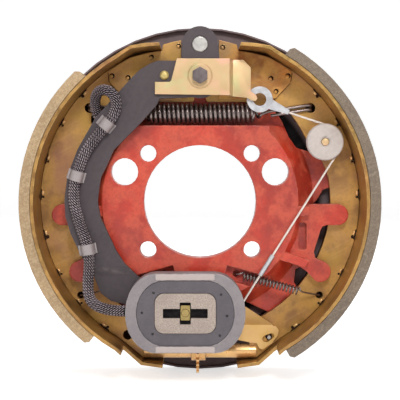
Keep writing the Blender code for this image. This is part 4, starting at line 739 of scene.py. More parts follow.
        self.core = ZonedFinish(
            "sintered_core", linear(178, 162, 151), linear(148, 134, 125), linear(194, 180, 168),
            roughness=(0.6, 0.8), specular=0.25, metallic=0.05, fine_scale=380.0, speck_scale=1000.0,
            contrast=0.75, speck_share=0.75, grain_scale=1500.0, grain_depth=0.0003, rub_and_highlight=0.4,
            # Painted shade: deeper than the core's front, its pit is near-black.
            rub_and_highlight_colour=linear(220, 208, 196), zone_colour=linear(13, 8, 10), zone_kind=Zone.DEPTH,
            zone_start=-0.0395, zone_end=-0.0386).build()
        self.brass = Finish(
            "brass_rivet", linear(192, 170, 104), linear(164, 140, 80), linear(212, 194, 132),
            roughness=(0.34, 0.5), metallic=0.5, fine_scale=240.0, grain_depth=0.00003, rub_and_highlight=0.5,
            rub_and_highlight_colour=linear(232, 218, 164)).build()
        self.clip = Finish(
            "spring_brass_clip", linear(164, 140, 84), linear(134, 110, 62), linear(188, 166, 108),
            roughness=(0.36, 0.52), metallic=0.4, fine_scale=240.0, grain_depth=0.00003,
            edge_width=0.0003, rub_and_highlight=0.3, rub_and_highlight_colour=linear(208, 190, 136)).build()
        self.nylon = Finish(
            "pulley_nylon", linear(194, 183, 176), linear(174, 162, 156), linear(208, 198, 191),
            roughness=(0.36, 0.52), coat=0.1, broad_scale=60.0, fine_scale=300.0, contrast=0.4,
            grain_depth=0.00004, edge_width=0.0009, rub_and_highlight=0.7, rub_and_highlight_colour=linear(240, 234, 228),
            marks=0.3, mark_colour=linear(220, 212, 206)).build()
        self.rubber = Finish(
            "black_rubber", linear(44, 41, 42), linear(32, 30, 31), linear(58, 55, 56),
            roughness=(0.6, 0.8), grain_depth=0.00008, rub_and_highlight=0.2, rub_and_highlight_colour=linear(90, 86, 86),
            dust=0.2).build()
        # Dark finish for the weld seams, and for painted shade: the doubler's shadow line and the floors of
        # the press marks and weld pits.
        self.seam = Finish(
            "dark_seam_and_shade", linear(40, 24, 14), linear(26, 15, 10), linear(66, 42, 24),
            roughness=(0.6, 0.8), specular=0.2, fine_scale=500.0, rub_and_highlight=0.0).build()
        self.sleeve_core = Finish(
            "sleeve_lining", linear(18, 13, 15), linear(12, 9, 11), linear(26, 20, 22),
            roughness=(0.7, 0.9), specular=0.2, rub_and_highlight=0.0).build()
        self.braid = StrandFinish(
            "braided_strands", linear(34, 26, 30), linear(24, 18, 22), linear(50, 40, 44),
            roughness=(0.28, 0.42), metallic=0.1, coat=0.1, fine_scale=900.0, contrast=0.85,
            # The light counter-wound strands over dark ones are a painted highlight: glints on the braid.
            edge_width=0.0001, rub_and_highlight=0.0, grain_depth=0.00001, second=linear(172, 156, 160)).build()
        self.rope = StrandFinish(
            "steel_rope", linear(232, 222, 212), linear(204, 194, 184), linear(244, 236, 229),
            roughness=(0.3, 0.45), metallic=0.35, fine_scale=500.0, edge_width=0.0001, rub_and_highlight=0.0,
            grain_depth=0.00001, second=linear(214, 202, 192)).build()
        self.eyelet = Finish(
            "bright_zinc", linear(196, 196, 198), linear(166, 165, 170), linear(214, 213, 214),
            roughness=(0.32, 0.48), metallic=0.55, fine_scale=200.0, grain_depth=0.00008, rub_and_highlight=0.5,
            rub_and_highlight_colour=linear(236, 236, 238)).build()
        self.weld = Finish(
            "weld_scale", linear(60, 36, 22), linear(38, 22, 16), linear(104, 72, 42),
            roughness=(0.4, 0.65), specular=0.3, metallic=0.3, fine_scale=600.0, contrast=0.8,
            grain_depth=0.0002, rub_and_highlight=0.5, rub_and_highlight_colour=linear(190, 158, 104)).build()


# Geometry node trees

CORE_STEP = 0.0025
CORE_SIDES = 20
MARK_SIDES = 24
MARK_RIM_SIDES = 6
MARK_FLOOR_THICK = 0.00016
MARK_SEED = 7
BEAD_SEED = 3
LUMP_SCALE = 2.2
LUMP_HEIGHT = 0.7


def open_solid(name: str, inputs: Dict[str, object]
               ) -> Tuple[Graph, Sequence[bpy.types.NodeSocket], bpy.types.Node]:
    """Starts a geometry group that turns points into solids."""
    return open_group(name, GEOMETRY, {"Geometry": "Geometry", **inputs}, {"Geometry": "Geometry"})


def strand_tree() -> bpy.types.NodeTree:
    """Strands that wind round a path, one way or both ways over and under each other.

    Returns:
        The geometry group.
    """
    graph, given, result = open_solid("wound_strands", {
        "Strands": 12, "Pitch": 0.03, "Centre Radius": 0.004, "Wave": 0.0, "Strand Radius": 0.0004,
        "Sides": 4, "Core Radius": 0.004, "Step": 0.0006, "Counter Wound": True,
        "Strand Finish": "Material", "Core Finish": "Material"})
    path = graph.first("GeometryNodeMeshToCurve", {"Mesh": given["Geometry"]})
    fine = graph.resample(path, given["Step"])
    length = graph.add("GeometryNodeSplineParameter").outputs["Length"]
    normal = graph.first("GeometryNodeInputNormal")
    across = graph.vector("CROSS_PRODUCT", graph.first("GeometryNodeInputTangent"), normal)
    turn = graph.math("DIVIDE", graph.math("MULTIPLY", length, math.tau), given["Pitch"])
    ripple = graph.math("COSINE", graph.math("MULTIPLY", turn, given["Strands"]))
    ways = []
    for sign in (1.0, -1.0):
        copies = graph.add("GeometryNodeDuplicateElements",
                           {"Geometry": fine, "Amount": given["Strands"]}, domain="SPLINE")
        share = graph.math("DIVIDE", copies.outputs["Duplicate Index"], given["Strands"])
        ahead = graph.math("MULTIPLY", share, math.tau)
        angle = graph.math("ADD", graph.math("MULTIPLY", turn, sign), ahead)
        lift = graph.math("MULTIPLY", graph.math("MULTIPLY", ripple, sign), given["Wave"])
        radius = graph.math("ADD", given["Centre Radius"], lift)
        shifts = [graph.vector("SCALE", axis, scale=graph.math("MULTIPLY", graph.math(wave, angle), radius))
                  for axis, wave in ((normal, "COSINE"), (across, "SINE"))]
        moved = graph.first("GeometryNodeSetPosition", {"Geometry": copies.outputs[0],
                                                        "Offset": graph.vector("ADD", *shifts)})
        strand = graph.tube(moved, given["Strand Radius"], given["Sides"])
        ways.append(graph.first("GeometryNodeStoreNamedAttribute",
                                {"Geometry": strand, "Name": "strand_tone", "Value": 0.5 - 0.5 * sign},
                                data_type="FLOAT", domain="POINT"))
    counter = graph.first("GeometryNodeSwitch", {"Switch": given["Counter Wound"], "True": ways[1]},
                          input_type="GEOMETRY")
    wound = graph.dress(graph.join((ways[0], counter)), given["Strand Finish"])
    core = graph.tube(graph.resample(path, CORE_STEP), given["Core Radius"], CORE_SIDES)
    return graph.close(graph.join((wound, graph.dress(core, given["Core Finish"]))), result)


def wire_tree() -> bpy.types.NodeTree:
    """A round wire with closed ends, swept along a path.

    Returns:
        The geometry group.
    """
    graph, given, result = open_solid("swept_wire", {
        "Wire Radius": 0.001, "Sides": 12, "Finish": "Material"})
    path = graph.first("GeometryNodeMeshToCurve", {"Mesh": given["Geometry"]})
    wire = graph.tube(path, given["Wire Radius"], given["Sides"])
    return graph.close(graph.dress(wire, given["Finish"]), result)


def button_tree() -> bpy.types.NodeTree:
    """Round marks on points, facing front: a dark floor, a fine rim round it and a dome in it. The dark
    floor is painted shade in the dent, and an off-centre dome leaves a crescent of it.

    Returns:
        The geometry group.
    """
    graph, given, result = open_solid("round_marks", {
        "Floor Radius": 0.0024, "Rim Wire": 0.00022, "Dome Radius": 0.0015, "Dome Height": 0.0006,
        "Dome Offset": 0.0005, "Unevenness": 0.12, "Rim Finish": "Material",
        "Floor Finish": "Material", "Dome Finish": "Material"})
    line = graph.first("GeometryNodeCurvePrimitiveCircle", {"Resolution": MARK_SIDES,
                                                            "Radius": given["Floor Radius"]})
    rim = graph.tube(line, given["Rim Wire"], MARK_RIM_SIDES, caps=False)
    floor = graph.first("GeometryNodeMeshCylinder", {
        "Vertices": MARK_SIDES, "Radius": given["Floor Radius"], "Depth": MARK_FLOOR_THICK})
    ball = graph.first("GeometryNodeMeshUVSphere", {"Segments": 20, "Rings": 8,
                                                    "Radius": given["Dome Radius"]})
    flat = graph.math("DIVIDE", given["Dome Height"], given["Dome Radius"])
    shift = graph.math("MULTIPLY", given["Dome Offset"], -1.0)
    dome = graph.first("GeometryNodeTransform", {
        "Geometry": ball, "Translation": graph.combine(shift, shift, 0.0),
        "Scale": graph.combine(1.0, 1.0, flat)})
    mark = graph.join([graph.dress(piece, given[label + " Finish"])
                       for piece, label in ((rim, "Rim"), (floor, "Floor"), (dome, "Dome"))])
    marks = graph.first("GeometryNodeInstanceOnPoints", {
        "Points": given["Geometry"], "Instance": mark, "Rotation": (math.pi / 2, 0.0, 0.0),
        "Scale": graph.uneven(given["Unevenness"], MARK_SEED)})
    return graph.close(marks, result)


def bead_tree() -> bpy.types.NodeTree:
    """Weld beads on points, long ones that follow each point's stored turn.

    Returns:
        The geometry group.
    """
    graph, given, result = open_solid("weld_beads", {
        "Length": 0.004, "Width": 0.0012, "Unevenness": 0.4, "Finish": "Material"})
    ball = graph.first("GeometryNodeMeshIcoSphere", {"Radius": 1.0, "Subdivisions": 3})
    lumps = graph.add("ShaderNodeTexNoise", {"Scale": LUMP_SCALE, "Detail": 2.0}).outputs["Fac"]
    height = graph.math("MULTIPLY", graph.math("SUBTRACT", lumps, 0.5), LUMP_HEIGHT)
    shift = graph.vector("SCALE", graph.first("GeometryNodeInputNormal"), scale=height)
    lumpy = graph.first("GeometryNodeSetPosition", {"Geometry": ball, "Offset": shift})
    turn = graph.first("GeometryNodeInputNamedAttribute", {"Name": "turn"}, data_type="FLOAT")
    size = graph.uneven(given["Unevenness"], BEAD_SEED)
    half = graph.math("MULTIPLY", graph.math("MULTIPLY", given["Length"], 0.5), size)
    wide = graph.math("MULTIPLY", given["Width"], size)
    beads = graph.first("GeometryNodeInstanceOnPoints", {
        "Points": given["Geometry"], "Instance": lumpy, "Rotation": graph.combine(0.0, turn, 0.0),
        "Scale": graph.combine(half, wide, wide)})
    return graph.close(graph.dress(beads, given["Finish"]), result)


# Meshes

def metres(points: Sequence[Point]) -> List[Point]:
    """Turns places in millimetres into metres."""
    return [tuple(value * MM for value in point) for point in points]


def add_object(name: str, data: bpy.types.ID) -> bpy.types.Object:
    """Puts a new object in the scene.

    Args:
        name: Its name.
        data: Its mesh, light or camera.

    Returns:
        The object.
    """
    thing = bpy.data.objects.new(name, data)
    bpy.context.scene.collection.objects.link(thing)
    return thing


def worked_mesh(thing: bpy.types.Object, name: str) -> bpy.types.Mesh:
    """Takes an object's modifiers off and keeps what they made.

    Args:
        thing: The object.
        name: The new mesh's name.

    Returns:
        The plain mesh.
    """
    graph = bpy.context.evaluated_depsgraph_get()
    mesh = bpy.data.meshes.new_from_object(thing.evaluated_get(graph), depsgraph=graph)
    thing.modifiers.clear()
    mesh.name = name
    return mesh


class Workshop:
    """The geometry trees, built once, and what turns their results into plain meshes."""

    def __init__(self) -> None:
        """Builds the trees."""
        self.strands = strand_tree()
        self.wire = wire_tree()
        self.buttons = button_tree()
        self.beads = bead_tree()

    def grow(self, name: str, points: Sequence[Point], tree: bpy.types.NodeTree, chained: bool = False,
             turns: Sequence[float] = (), **inputs: object) -> bpy.types.Object:
        """Runs a tree on points and keeps the result as a plain mesh.

        Args:
            name: The piece's name.
            points: Places in millimetres.
            tree: The geometry group.
            chained: Whether the points are joined into one path.
            turns: A turn about Y for each point, in radians.
            inputs: The tree's values by input name, with _ for a space.

        Returns:
            The finished piece at the origin.
        """
        host_mesh = bpy.data.meshes.new(name + "_points")
        edges = [(index, index + 1) for index in range(len(points) - 1)] if chained else []
        host_mesh.from_pydata(metres(points), edges, [])
        if turns:
            stored = host_mesh.attributes.new("turn", "FLOAT", "POINT")
            stored.data.foreach_set("value", list(turns))
        host = add_object(name + "_host", host_mesh)
        modifier = host.modifiers.new(tree.name, "NODES")
        modifier.node_group = tree
        sockets = {item.name: item.identifier for item in tree.interface.items_tree
                   if item.item_type == "SOCKET" and item.in_out == "INPUT"}
        for label, value in inputs.items():
            modifier[sockets[label.replace("_", " ")]] = value
        mesh = worked_mesh(host, name)
        bpy.data.objects.remove(host)
        return add_object(name, mesh)

    def sweep(self, name: str, points: Sequence[Point], radius: float, finish: bpy.types.Material,
              sides: int = 12) -> bpy.types.Object:
        """A round wire along points, with its radius in millimetres."""
        return self.grow(name, points, self.wire, True, Wire_Radius=radius * MM, Sides=sides, Finish=finish)


def settle(piece: bpy.types.Object, body: Mover, node: Optional[str] = None) -> None:
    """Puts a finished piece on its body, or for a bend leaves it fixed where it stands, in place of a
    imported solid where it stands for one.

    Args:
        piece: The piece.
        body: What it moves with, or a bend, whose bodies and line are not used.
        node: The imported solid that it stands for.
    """
    if isinstance(body, Bend):
        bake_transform(piece)
    else:
        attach(piece, body.value)
    if node:
        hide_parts(node)


SAME_PLACE = 4e-6
THINNEST = 4e-5
FLAT_TURN = math.radians(0.8)
SMOOTH_TURN = math.radians(32.0)
CORNER_TURNS = (math.radians(4.0), math.radians(48.0))
CORNER_STEPS = 5
ALONG_AXLE = 0.995


def round_outline(work: bmesh.types.BMesh, width: float) -> None:
    """Turns the shallow corners of a plate's outline into curves.

    Args:
        work: The plate's mesh, lying across Y.
        width: How far each curve reaches along the outline, in millimetres.
    """
    corners = []
    for edge in work.edges:
        along = (edge.verts[1].co - edge.verts[0].co).normalized()
        if not edge.is_manifold or abs(along.y) < ALONG_AXLE:
            continue
        if CORNER_TURNS[0] < edge.calc_face_angle() < CORNER_TURNS[1]:
            corners.append(edge)
    bmesh.ops.bevel(work, geom=corners, offset=width * MM, offset_type="OFFSET", segments=CORNER_STEPS,
                    profile=0.5, affect="EDGES", clamp_overlap=True)


def refine(node: str, body: Mover, finish: bpy.types.Material, edge: Edge, corner: float = 0.0) -> None:
    """Stands a copy in for a rigid solid, with its edges rounded and its curved faces smooth.

    Args:
        node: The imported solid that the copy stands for.
        body: What it moves with.
        finish: Its material.
        edge: The rounding of its edges.
        corner: Reach of the curves on a plate's outline, in millimetres, or 0 for none.
    """
    work = bmesh.new()
    work.from_mesh(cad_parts[node].data)
    bmesh.ops.remove_doubles(work, verts=work.verts, dist=SAME_PLACE)
    bmesh.ops.dissolve_limit(work, angle_limit=FLAT_TURN, verts=work.verts, edges=work.edges, delimit=set())
    bmesh.ops.dissolve_degenerate(work, dist=THINNEST, edges=work.edges)
    if corner:
        round_outline(work, corner)
    mesh = bpy.data.meshes.new(node + "_body")
    work.to_mesh(mesh)
    work.free()
    mesh.materials.append(finish)
    piece = add_object(node + "_body", mesh)
    mesh.shade_smooth()
    mesh.set_sharp_from_angle(angle=SMOOTH_TURN)
    width, steps = edge.value
    rounding = piece.modifiers.new("rounded_edges", "BEVEL")
    rounding.width = width * MM
    rounding.segments = steps
    rounding.limit_method = "ANGLE"
    rounding.angle_limit = SMOOTH_TURN
    rounding.use_clamp_overlap = True
    rounding.harden_normals = True
    piece.data = worked_mesh(piece, node + "_body")
    settle(piece, body, node)


# Paths

CURVE_STEPS = 24


def even_path(points: Sequence[Point], spacing: float) -> List[Point]:
    """Even points along a smooth curve through a few chosen ones.

    Args:
        points: The chosen points.
        spacing: The distance between the results.

    Returns:
        The points of the curve, its two ends among them.
    """
    places = [Vector(point) for point in points]
    ends = [places[0] * 2 - places[1], *places, places[-1] * 2 - places[-2]]
    fine: List[Vector] = []
    for first, second, third, fourth in zip(ends, ends[1:], ends[2:], ends[3:]):
        for index in range(CURVE_STEPS):
            t = index / CURVE_STEPS
            fine.append(0.5 * (2 * second + (third - first) * t
                               + (2 * first - 5 * second + 4 * third - fourth) * t * t
                               + (3 * second - first - 3 * third + fourth) * t ** 3))
    fine.append(places[-1])
    out = [fine[0]]
    travelled = 0.0
    for before, after in zip(fine, fine[1:]):
        travelled += (after - before).length
        if travelled >= spacing:
            out.append(after)
            travelled = 0.0
    if (out[-1] - places[-1]).length < spacing * 0.5:
        out.pop()
    out.append(places[-1])
    return [tuple(place) for place in out]


def helix(start: Point, end: Point, radius: float, turns: float, per_turn: int,
          first_angle: float = 0.0) -> List[Point]:
    """Points of a coil between two places.

    Args:
        start: The first place of its axis.
        end: The last place of its axis.
        radius: The mean radius.
        turns: How often it goes round.
        per_turn: Points for each turn.
        first_angle: Where the coil starts, in degrees.

    Returns:
        The points.
    """
    origin = Vector(start)
    along = Vector(end) - origin
    across = along.cross(Vector((0.0, 1.0, 0.0))).normalized()
    depth = along.normalized().cross(across)
    total = int(turns * per_turn)
    points = []
    for index in range(total + 1):
        angle = math.radians(first_angle) + math.tau * index / per_turn
        offset = across * math.cos(angle) + depth * math.sin(angle)
        points.append(tuple(origin + along * (index / total) + offset * radius))
    return points


# Sub-assemblies

@dataclass
class Assembly:
    """A sub-assembly, with the trees and the materials that it is made with."""

    shop: Workshop
    finishes: Finishes

    def build(self) -> None:
        """Builds the sub-assembly."""
        raise NotImplementedError


@dataclass
class LeadHarness(Assembly):
    """The braided lead from the magnet to the back, its clips and its two bare wires."""

    radius: float = 4.9
    tail_radius: float = 4.55
    strands: int = 12
    pitch: float = 31.0
    strand_radius: float = 0.42
    strand_step: float = 0.56
    wave: float = 0.26
    core_gap: float = 0.2
    wire_radius: float = 1.4
    wire_spread: float = 2.0
    wire_sides: int = 14
    point_step: float = 1.5
    wire_point_step: float = 2.0
    lie_y: float = -29.2

    def sleeve_route(self) -> List[Point]:
        """The sleeve's points, from the magnet up the lever and in behind the web."""
        y = self.lie_y
        return [(-64.3, -30.5, -93.0), (-72.0, -29.6, -92.8), (-79.5, y, -91.9), (-87.6, y, -89.3),
                (-93.6, y, -84.1), (-95.9, y, -76.4), (-96.0, y, -65.4), (-95.3, y, -52.4),
                (-96.0, y, -41.5), (-98.5, y, -31.5), (-102.2, y, -21.6), (-105.7, y, -10.7),
                (-108.2, y, 1.5), (-107.9, y, 15.3), (-105.1, y, 26.3), (-100.2, y, 39.5),
                (-93.1, y, 51.0), (-85.4, y, 61.0), (-78.4, y, 69.6), (-73.6, y, 77.0),
                (-72.0, y, 84.0), (-73.4, y, 90.6), (-78.0, -28.4, 95.4), (-83.8, -25.2, 97.0),
                (-89.0, -19.6, 94.6), (-91.6, -13.4, 89.0), (-91.8, -9.2, 82.6), (-90.0, -6.8, 76.0),
                (-87.6, -3.4, 71.2), (-86.9, 2.0, 69.6), (-88.3, 7.0, 71.5), (-90.5, 11.5, 73.8)]

    def tail_route(self) -> List[Point]:
        """The tail's points, from behind the web out through the shield and down its back."""
        return [(-91.1, 12.6, 74.4), (-93.7, 17.0, 76.7), (-96.9, 21.0, 79.0), (-100.9, 28.0, 82.3),
                (-103.3, 37.0, 84.2), (-103.6, 46.0, 84.5), (-103.6, 53.0, 84.5),
                (-103.6, 60.0, 84.5), (-103.6, 70.0, 81.0), (-103.4, 76.0, 70.0),
                (-102.6, 79.0, 54.0), (-101.4, 80.0, 34.0), (-100.2, 80.0, 12.0),
                (-99.4, 79.6, -12.0), (-99.0, 79.2, -36.0)]

    def wire_route(self, side: int) -> List[Point]:
        """The points of one bare wire at the tail's end.

        Args:
            side: -1 or 1.

        Returns:
            The points.
        """
        x, y, z = self.tail_route()[-1]
        x += side * self.wire_spread
        return [(x, y, z - 0.4), (x + side * 0.6, y, z - 12.0), (x + side * 2.4, y + 0.6, z - 26.0),
                (x + side * 3.0, y + 1.0, z - 40.0)]

    def declare(self, piece: bpy.types.Object, path: Sequence[Point], radius: float, far_end: str,
                stiffness: str, lay: str) -> None:
        """Takes a cord's details and does nothing with them.

        Args:
            piece: The piece. Not used.
            path: Its middle line, in millimetres. Not used.
            radius: Its radius, in millimetres. Not used.
            far_end: What is on its end. Not used.
            stiffness: How stiff it is. Not used.
            lay: How it lies. Not used.
        """

    def braid(self, name: str, route: Sequence[Point], outer: float, body: Body, far_end: str,
              lay: str) -> None:
        """One braided stretch of the lead.

        Args:
            name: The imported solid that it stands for.
            route: Its points.
            outer: Its outer radius.
            body: What it moves with.
            far_end: What is on its end.
            lay: How it lies.
        """
        path = even_path(route, self.point_step)
        middle = outer - self.strand_radius - self.wave
        inner = outer - self.strand_radius * 2 - self.core_gap
        piece = self.shop.grow(
            name + "_braid", path, self.shop.strands, True, Strands=self.strands, Pitch=self.pitch * MM,
            Centre_Radius=middle * MM, Wave=self.wave * MM, Strand_Radius=self.strand_radius * MM, Sides=3,
            Core_Radius=inner * MM, Step=self.strand_step * MM, Counter_Wound=True,
            Strand_Finish=self.finishes.braid, Core_Finish=self.finishes.sleeve_core)
        settle(piece, body, name)
        self.declare(piece, path, self.radius, far_end, "stiff", lay)

    def build(self) -> None:
        """Builds the lead and dresses its clips."""
        self.braid("lead_sleeve", self.sleeve_route(), self.radius, Body.LEVER, "object", "loose")
        self.braid("lead_tail", self.tail_route(), self.tail_radius, Body.BASE, "bare", "hanging")
        for name, side in (("lead_wire_1", -1), ("lead_wire_2", 1)):
            path = even_path(self.wire_route(side), self.wire_point_step)
            piece = self.shop.sweep(name + "_core", path, self.wire_radius, self.finishes.rubber,
                                    self.wire_sides)
            settle(piece, Body.BASE, name)
            self.declare(piece, path, self.wire_radius, "bare", "medium", "hanging")
        for index in range(3):
            refine("wire_clip_%d" % (index + 1), Body.LEVER, self.finishes.strap, Edge.FINE)
        refine("lead_grommet", Body.BASE, self.finishes.rubber, Edge.THIN)
        LOG.info("lead harness: sleeve, tail, two wires, three clips, grommet")


@dataclass
class BackingPlate(Assembly):
    """The spider casting with the dished shield behind it."""

    def build(self) -> None:
        """Refines the casting, the shield and what is fastened to it."""
        refine("backing_spider", Body.BASE, self.finishes.casting, Edge.CAST)
        refine("dust_shield", Body.BASE, self.finishes.shield, Edge.PLAIN)
        for index in range(4):
            refine("shield_screw_%d" % (index + 1), Body.BASE, self.finishes.steel, Edge.SOFT)
        for index in range(2):
            refine("adjuster_plug_%d" % (index + 1), Body.BASE, self.finishes.rubber, Edge.SOFT)
        LOG.info("backing plate: casting, shield, four screws, two plugs")


@dataclass
class AnchorGroup(Assembly):
    """The anchor post with its bolt, washer, nut and the cable's bracket."""

    def build(self) -> None:
        """Refines the anchor's pieces."""
        refine("anchor_post", Body.BASE, self.finishes.steel, Edge.PLAIN)
        refine("anchor_nut", Body.BASE, self.finishes.steel, Edge.PLAIN)
        refine("anchor_bolt", Body.BASE, self.finishes.dark_steel, Edge.PLAIN)
        refine("anchor_washer", Body.BASE, self.finishes.pale, Edge.SLIGHT)
        refine("cable_bracket", Body.BASE, self.finishes.pale, Edge.FULL)
        LOG.info("anchor: post, nut, bolt, washer, bracket")


@dataclass
class LeverArm(Assembly):
    """The cranked arm with its cam, pins and stop rivet."""

    outline_curve: float = 7.0

    def build(self) -> None:
        """Refines the lever's pieces."""
        refine("lever_arm", Body.LEVER, self.finishes.lever, Edge.HEAVY, self.outline_curve)
        refine("lever_cam", Body.LEVER, self.finishes.lever, Edge.BLUNT)
        refine("cam_pin", Body.LEVER, self.finishes.steel, Edge.SOFT)
        refine("stop_rivet", Body.LEVER, self.finishes.brass, Edge.ROUND)
        refine("magnet_post", Body.LEVER, self.finishes.clip, Edge.HAIR)
        LOG.info("lever: arm, cam, pin, stop rivet, magnet post")


@dataclass
class MagnetUnit(Assembly):
    """The oval magnet with its clip and spring."""

    centre: Tuple[float, float] = (-12.5, -93.6)
    spring_radius: float = 9.0
    spring_wire: float = 1.4
    spring_turns: int = 3
    turn_steps: int = 32
    spring_span: Tuple[float, float] = (-20.1, -24.6)
    potting_y: float = -40.2
    pit_places: Tuple[Tuple[float, float], ...] = (
        (-26.9, 17.6), (-36.8, 0.6), (-27.7, -17.4), (30.4, 16.0), (35.4, -2.0), (29.3, -18.6))

    def spring(self) -> None:
        """Winds the spring behind the magnet."""
        x, z = self.centre
        first, last = self.spring_span
        steps = self.spring_turns * self.turn_steps
        turns = []
        for index in range(steps + 1):
            angle = math.tau * index / self.turn_steps
            turns.append((x + self.spring_radius * math.cos(angle),
                          first + (last - first) * (index / steps),
                          z + self.spring_radius * math.sin(angle)))
        half = self.spring_wire / 2
        squeeze = Bend(Body.LEVER, Body.MAGNET, (x, first + half, z), (x, last - half, z))
        wire = self.shop.sweep("magnet_spring_wire", turns, half, self.finishes.steel)
        settle(wire, squeeze, "magnet_spring")

    def build(self) -> None:
        """Refines the magnet and winds its spring."""
        refine("magnet_case", Body.MAGNET, self.finishes.magnet, Edge.HEAVY)
        refine("magnet_potting", Body.MAGNET, self.finishes.potting, Edge.THIN)
        refine("magnet_core", Body.MAGNET, self.finishes.core, Edge.THIN)
        refine("magnet_clip", Body.LEVER, self.finishes.clip, Edge.HAIR)
        x, z = self.centre
        pits = [(x + across, self.potting_y, z + up) for across, up in self.pit_places]
        # Dark floors and domes in the potting's pits: painted shade in the hollows.
        dark = self.finishes.rubber
        settle(self.shop.grow("magnet_potting_pits", pits, self.shop.buttons, Floor_Radius=0.0012,
                              Rim_Wire=0.00015, Dome_Radius=0.0006, Dome_Height=0.0001, Dome_Offset=0.0,
                              Rim_Finish=self.finishes.potting, Floor_Finish=dark, Dome_Finish=dark),
               Body.MAGNET)
        self.spring()
        LOG.info("magnet: case, potting, core, clip, spring")


@dataclass
class BrakeShoe(Assembly):
    """One shoe: lining, rim, web and doubler, with its press marks and weld beads."""

    side: Side
    rim_radius: float = 142.2
    web_front_y: float = 5.0
    doubler_front_y: float = 1.7
    shadow_line_radius: float = 0.5
    shadow_line_sink: float = 0.1
    doubler_edge: Tuple[Tuple[float, float], ...] = (
        (66.4, 90.6), (70.6, 94.7), (75.2, 99.5), (79.4, 103.8), (81.0, 107.0), (81.7, 111.0),
        (82.1, 114.0))
    shadow_line_sides: int = 8
    weld_angles: Tuple[float, ...] = (42.5, 29.5, 15.3, 2.2, -12.5, -27.0, -40.0, -53.0)
    pit_offset: Tuple[float, float] = (-0.9, 2.2)
    lump_offset: Tuple[float, float] = (0.6, 1.9)
    seam_offset: Tuple[float, float] = (0.0, 0.4)

    def press_marks(self) -> List[Point]:
        """Places of the round marks on the doubler."""
        if self.side is Side.PRIMARY:
            flat = [(-78.3, 111.0), (-63.9, 109.4), (-43.1, 127.7), (-18.9, 137.6)]
        else:
            flat = [(78.4, 111.0), (63.2, 108.6), (67.8, 97.2), (20.4, 136.6)]
        return [(x, self.doubler_front_y, z) for x, z in flat]

    def weld_places(self, shift: float, inset: float) -> Tuple[List[Point], List[float]]:
        """Places and turns of the weld marks where the web meets the rim.

        Args:
            shift: How far each lies from its mark's middle, in degrees.
            inset: How far it lies inside the rim, in millimetres.

        Returns:
            The places, and each one's turn about Y.
        """
        places, turns = [], []
        radius = self.rim_radius - inset
        for angle in self.weld_angles:
            heading = math.radians(angle + shift)
            places.append((self.side.value * radius * math.cos(heading), self.web_front_y,
                           radius * math.sin(heading)))
            turns.append(self.side.value * (math.pi / 2 - heading))
        return places, turns

    def marks(self, name: str, body: Body, sheet: bpy.types.Material) -> None:
        """Adds the press marks on the doubler, a painted shadow line along the doubler's edge and the weld
        marks on the web.

        Args:
            name: The shoe's name.
            body: Its body.
            sheet: The doubler's material.
        """
        shop, coats = self.shop, self.finishes
        # Press marks: the dark floor is painted shade in each dent, with a painted shadow crescent beside
        # the off-centre dome.
        settle(shop.grow(name + "_press_marks", self.press_marks(), shop.buttons, Floor_Radius=0.0027,
                         Rim_Wire=0.0003, Dome_Radius=0.0018, Dome_Offset=0.00062, Rim_Finish=sheet,
                         Floor_Finish=coats.seam, Dome_Finish=sheet), body)
        # A dark wire sunk just into the web along the doubler's edge: painted shadow where the doubler
        # steps down to the web.
        edge = [(self.side.value * x, self.web_front_y - self.shadow_line_sink, z) for x, z in self.doubler_edge]
        settle(shop.sweep(name + "_doubler_shadow_line", edge, self.shadow_line_radius, coats.seam, self.shadow_line_sides),
               body)
        # Weld pits: the dark floor is painted shade in each pit.
        pits, _ = self.weld_places(*self.pit_offset)
        settle(shop.grow(name + "_weld_pits", pits, shop.buttons, Floor_Radius=0.0017, Dome_Radius=0.0008,
                         Dome_Height=0.0004, Dome_Offset=0.0005, Unevenness=0.4, Rim_Finish=coats.table,
                         Floor_Finish=coats.seam, Dome_Finish=coats.weld), body)
        # Weld beads in the bright zinc finish: real beads whose light colour is a painted highlight.
        lumps, turns = self.weld_places(*self.lump_offset)
        settle(shop.grow(name + "_weld_lumps", lumps, shop.beads, False, turns, Length=0.0046,
                         Width=0.0013, Finish=coats.tube), body)
        seams, turns = self.weld_places(*self.seam_offset)
        settle(shop.grow(name + "_weld_seams", seams, shop.beads, False, turns, Length=0.011,
                         Width=0.0009, Finish=coats.seam), body)

    def build(self) -> None:
        """Refines the shoe and adds its marks."""
        coats = self.finishes
        name, body, lining, sheet = {
            Side.PRIMARY: ("primary", Body.PRIMARY, coats.lining, coats.gold),
            Side.SECONDARY: ("secondary", Body.SECONDARY, coats.grey_lining, coats.warm_gold)}[self.side]
        refine(name + "_lining", body, lining, Edge.BLUNT)
        refine(name + "_table", body, coats.table, Edge.PLAIN)
        refine(name + "_web", body, coats.gold, Edge.PLAIN)
        refine(name + "_doubler", body, sheet, Edge.PLAIN)
        self.marks(name, body, sheet)
        LOG.info("%s shoe: lining, rim, web, doubler, press and weld marks", name)


